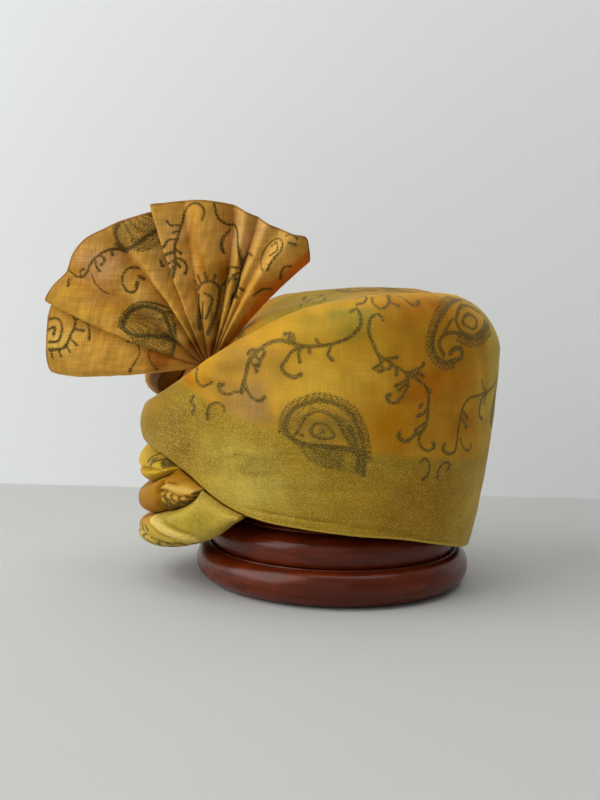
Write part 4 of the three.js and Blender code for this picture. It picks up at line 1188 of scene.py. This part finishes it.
FAN_PANELS = (  # last pleat line of a panel, its prints, and its strokes with half width and points
    (6.5, (), (
        (0.9, ((-108, 33), (-100, 35), (-94, 30), (-90, 24), (-92, 14), (-96, 7), (-106, 5))),
        (0.9, ((-108, 25), (-101, 25), (-98, 20), (-100, 11), (-106, 10))),
        (0.9, ((-108, 17), (-103, 20), (-103, 15))), (0.8, ((-86, 26), (-81, 22), (-79, 13))),
        (0.8, ((-91, 29), (-84, 33))), (0.8, ((-89, 25), (-82, 27))), (0.8, ((-90, 19), (-83, 18))),
        (0.8, ((-92, 13), (-87, 9))), (0.8, ((-95, 9), (-92, 4))), (0.8, ((-100, 6), (-98, 1))),
        (0.8, ((-105, 5), (-104, 0))), (0.7, ((-54, 12), (-48, 11), (-45, 5), (-48, -1), (-52, -7))),
        (0.7, ((-37, 9), (-39, 6), (-37, 0), (-33, -5))),
    )),
    (16.5, (("leaf", -47, 84, 43, 0.62, 1), ("leaf", -39, 23, 0, 0.66, 1)), (
        (0.9, ((-98, 60), (-94, 56), (-89, 53), (-81, 57), (-77, 63), (-71, 69), (-63, 72), (-56, 70))),
        (0.8, ((-78, 56), (-77, 50), (-73, 45), (-69, 43))), (0.8, ((-74, 65), (-73, 60), (-71, 58))),
        (0.9, ((-71, 68), (-68, 65), (-70, 62))), (0.8, ((-64, 75), (-60, 73), (-57, 71))),
        (0.8, ((-95, 51), (-94, 47))), (0.8, ((-87, 54), (-86, 58), (-83, 59))),
        (0.8, ((-66, 72), (-64, 68))),
        (0.9, ((-48, 60), (-53, 60), (-56, 55), (-55, 49), (-51, 45), (-47, 46), (-47, 51))),
        (0.9, ((-47, 55), (-44, 53))), (0.8, ((-28, 38), (-24, 35), (-23, 31))),
        (0.7, ((-33, 66), (-31, 62))),
    )),
    (30, (), (
        (0.9, ((-3, 93), (-2, 99), (-6, 103), (-12, 102), (-16, 98), (-18, 90), (-20, 82), (-22, 74),
               (-21, 66), (-22, 57), (-23, 53))),
        (0.8, ((-18, 89), (-25, 89), (-27, 91))), (0.8, ((-20, 80), (-26, 79), (-29, 74))),
        (0.8, ((-21, 68), (-16, 66), (-14, 61), (-15, 58))), (0.9, ((-21, 67), (-26, 63), (-26, 60))),
        (0.7, ((-26, 61), (-25, 52), (-22, 46))), (0.9, ((-22, 74), (-18, 71))),
        (0.9, ((-22, 72), (-27, 70))), (0.9, ((-21, 66), (-18, 62))), (0.9, ((-22, 63), (-25, 58))),
        (0.8, ((-19, 86), (-23, 84))),
        (1.0, ((-6, 48), (-4, 51), (2, 54), (7, 50), (7, 44), (5, 32), (1, 20))),
        (0.9, ((-5, 45), (-6, 34), (-5, 22))), (0.8, ((-6, 50), (-9, 53))), (0.8, ((-4, 53), (-6, 57))),
        (0.8, ((0, 55), (-1, 59))), (0.8, ((4, 54), (5, 58))), (0.8, ((8, 51), (11, 54))),
        (0.9, ((-1, 46), (3, 44), (2, 36), (0, 30))), (0.9, ((-2, 40), (-3, 30))),
        (0.9, ((4, 103), (5, 98), (7, 93), (12, 90), (16, 90), (19, 86), (20, 78), (21, 69), (21, 60),
               (20, 51), (19, 44))),
        (0.8, ((12, 87), (9, 82), (8, 77), (9, 72))), (0.8, ((21, 67), (24, 70), (27, 72), (29, 71))),
        (0.9, ((20, 63), (15, 63), (12, 61), (13, 59))), (0.9, ((20, 55), (16, 56), (14, 53))),
        (0.9, ((19, 49), (16, 45), (15, 39))), (0.8, ((20, 60), (17, 58))), (0.8, ((20, 52), (23, 49))),
        (0.6, ((37, 61), (35, 65), (35, 71), (39, 78), (46, 82), (49, 80), (48, 75), (43, 69), (39, 62))),
        (0.6, ((41, 77), (45, 79), (46, 76), (41, 71))), (0.8, ((53, 65), (50, 65), (47, 62), (46, 57))),
        (0.7, ((51, 84), (55, 85), (58, 83))), (0.7, ((53, 80), (57, 79))),
        (0.8, ((30, 46), (36, 50), (40, 50))),
    )),
)
fan_points = np.stack([flat_right, flat_up], -1)
stem_points = np.repeat(fan_points[:, :1], len(STEM), axis=1)
fan_points = np.concatenate([stem_points, fan_points], axis=1)
fan_places = front_and_back(fan_points, fan_points[:, 1:-1])
panel_lines = np.broadcast_to(fan_line, fan_points.shape[:2])
panel_lines = front_and_back(panel_lines, panel_lines[:, 1:-1])
fan_gaps = np.full(len(fan_places), INK_REACH)
panel_start = -1
for panel_end, prints, strokes in FAN_PANELS:
    panel = (panel_lines > panel_start) & (panel_lines <= panel_end)
    fan_gaps[panel] = print_gap(fan_places[panel], prints, strokes)
    panel_start = panel_end
fan_colours = dye_and_shade_colours(fan_places, FAN_GROUND, FAN_DYE_AND_SHADE_PATCHES)
flap = soft_step(FAN_FLAP, panel_lines, FAN_FLAP_EDGE)[:, None]
fan_colours = fan_colours * (1 - flap) + np.array(linear(*FAN_FLAP_ORANGE)) * flap
from_rim = np.concatenate([np.ones(len(STEM)), out[0]]) * FAN_MEAN_REACH
from_rim = np.broadcast_to(from_rim, fan_points.shape[:2])
from_rim = front_and_back(from_rim, from_rim[:, 1:-1])
dress(fan, fan_places, fan_colours, fan_gaps, 0 * from_rim, from_rim)
fan_finish = {"roughness": 0.5, "thread_contrast": 0.2, "edge": FAN_CUT_EDGE}
fan.data.materials.append(silk_material("fan_silk", ink_strength=0.95, glitter=0.35, **fan_finish))
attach(fan, "root")
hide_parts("fan")


# Studio: a plain pale shelf and wall, a broad soft light from the upper left, weaker ones in front, above
# and behind, and a camera a metre away that looks slightly down. None of it belongs to the object.
FLOOR_SIZE = 6.0
WALL_DISTANCE = 0.30
UPRIGHT = (math.radians(90), 0, 0)
SHELF_GREY = (190, 191, 189)
WALL_WHITE = (242, 246, 248)
MOTTLE_SCALE = 3.0
MOTTLE_DEPTH = 5
ROOM_COLOUR = (1.0, 0.97, 0.92, 1)
ROOM_STRENGTH = 0.24
bpy.ops.object.select_all(action="DESELECT")
bpy.ops.mesh.primitive_plane_add(size=FLOOR_SIZE, location=(0, 0, 0))
shelf = bpy.context.object
shelf.name = "shelf"
bpy.ops.object.select_all(action="DESELECT")
bpy.ops.mesh.primitive_plane_add(size=FLOOR_SIZE, location=(0, WALL_DISTANCE, 0), rotation=UPRIGHT)
wall = bpy.context.object
wall.name = "wall"


def painted_board(name, colour, seen_from_behind):
    material, tree, shader = new_material(name)
    place = add_node(tree, "ShaderNodeTexCoord").outputs["Object"]
    mottle = noise(tree, place, MOTTLE_SCALE, 2.0)
    pale, dark = linear(*colour), linear(*(c - MOTTLE_DEPTH for c in colour))
    tree.links.new(blend_colours(tree, mottle, pale, dark), shader.inputs["Base Color"])
    shader.inputs["Roughness"].default_value = 0.75
    shader.inputs["Specular IOR Level"].default_value = 0.15
    if not seen_from_behind:
        back = add_node(tree, "ShaderNodeNewGeometry").outputs["Backfacing"]
        clear = add_node(tree, "ShaderNodeBsdfTransparent").outputs[0]
        choice = add_node(tree, "ShaderNodeMixShader", feeds={0: back, 1: shader.outputs[0], 2: clear})
        tree.links.new(choice.outputs[0], tree.nodes["Material Output"].inputs["Surface"])
    return material


shelf.data.materials.append(painted_board("pale_shelf", SHELF_GREY, True))
wall.data.materials.append(painted_board("pale_wall", WALL_WHITE, False))

world = bpy.data.worlds.new("soft_room")
world.use_nodes = True
world.node_tree.nodes["Background"].inputs["Color"].default_value = ROOM_COLOUR
world.node_tree.nodes["Background"].inputs["Strength"].default_value = ROOM_STRENGTH
bpy.context.scene.world = world
LIGHTS = (  # name, place, aim, size, power
    ("window_light", (-1.6, -0.62, 1.2), (0, 0, 0.12), 2.1, 42),
    ("room_fill", (-0.3, -2.4, 1.0), (0, 0, 0.12), 1.6, 3),
    ("ceiling_light", (0.35, 0.0, 2.0), (0.1, 0, 0.1), 1.6, 16),
    ("back_fill", (0.4, 2.2, 1.4), (0, 0, 0.1), 1.4, 8),
)


def aim(thing, place, target):
    towards = np.array(target) - np.array(place)
    flat = math.hypot(towards[0], towards[1])
    thing.location = place
    thing.rotation_euler = (math.atan2(flat, -towards[2]), 0, math.atan2(-towards[0], towards[1]))


for name, place, target, size, power in LIGHTS:
    light = bpy.data.lights.new(name, "AREA")
    light.size = size
    light.energy = power
    lamp = bpy.data.objects.new(name, light)
    bpy.context.scene.collection.objects.link(lamp)
    aim(lamp, place, target)

CAMERA_PLACE = (-0.0254, -1.0, 0.259)
CAMERA_PITCH = math.radians(90 - 7.66)
CAMERA_ROLL = math.radians(1.5)
CAMERA_SENSOR = 36
CAMERA_LENS = 65.07
lens = bpy.data.cameras.new("camera")
lens.sensor_width = CAMERA_SENSOR
lens.lens = CAMERA_LENS
camera = bpy.data.objects.new("camera", lens)
bpy.context.scene.collection.objects.link(camera)
facing = Matrix.Rotation(CAMERA_PITCH, 4, "X") @ Matrix.Rotation(CAMERA_ROLL, 4, "Z")
camera.location = CAMERA_PLACE
camera.rotation_euler = facing.to_euler()
bpy.context.scene.camera = camera
bpy.context.scene.view_settings.view_transform = "Standard"
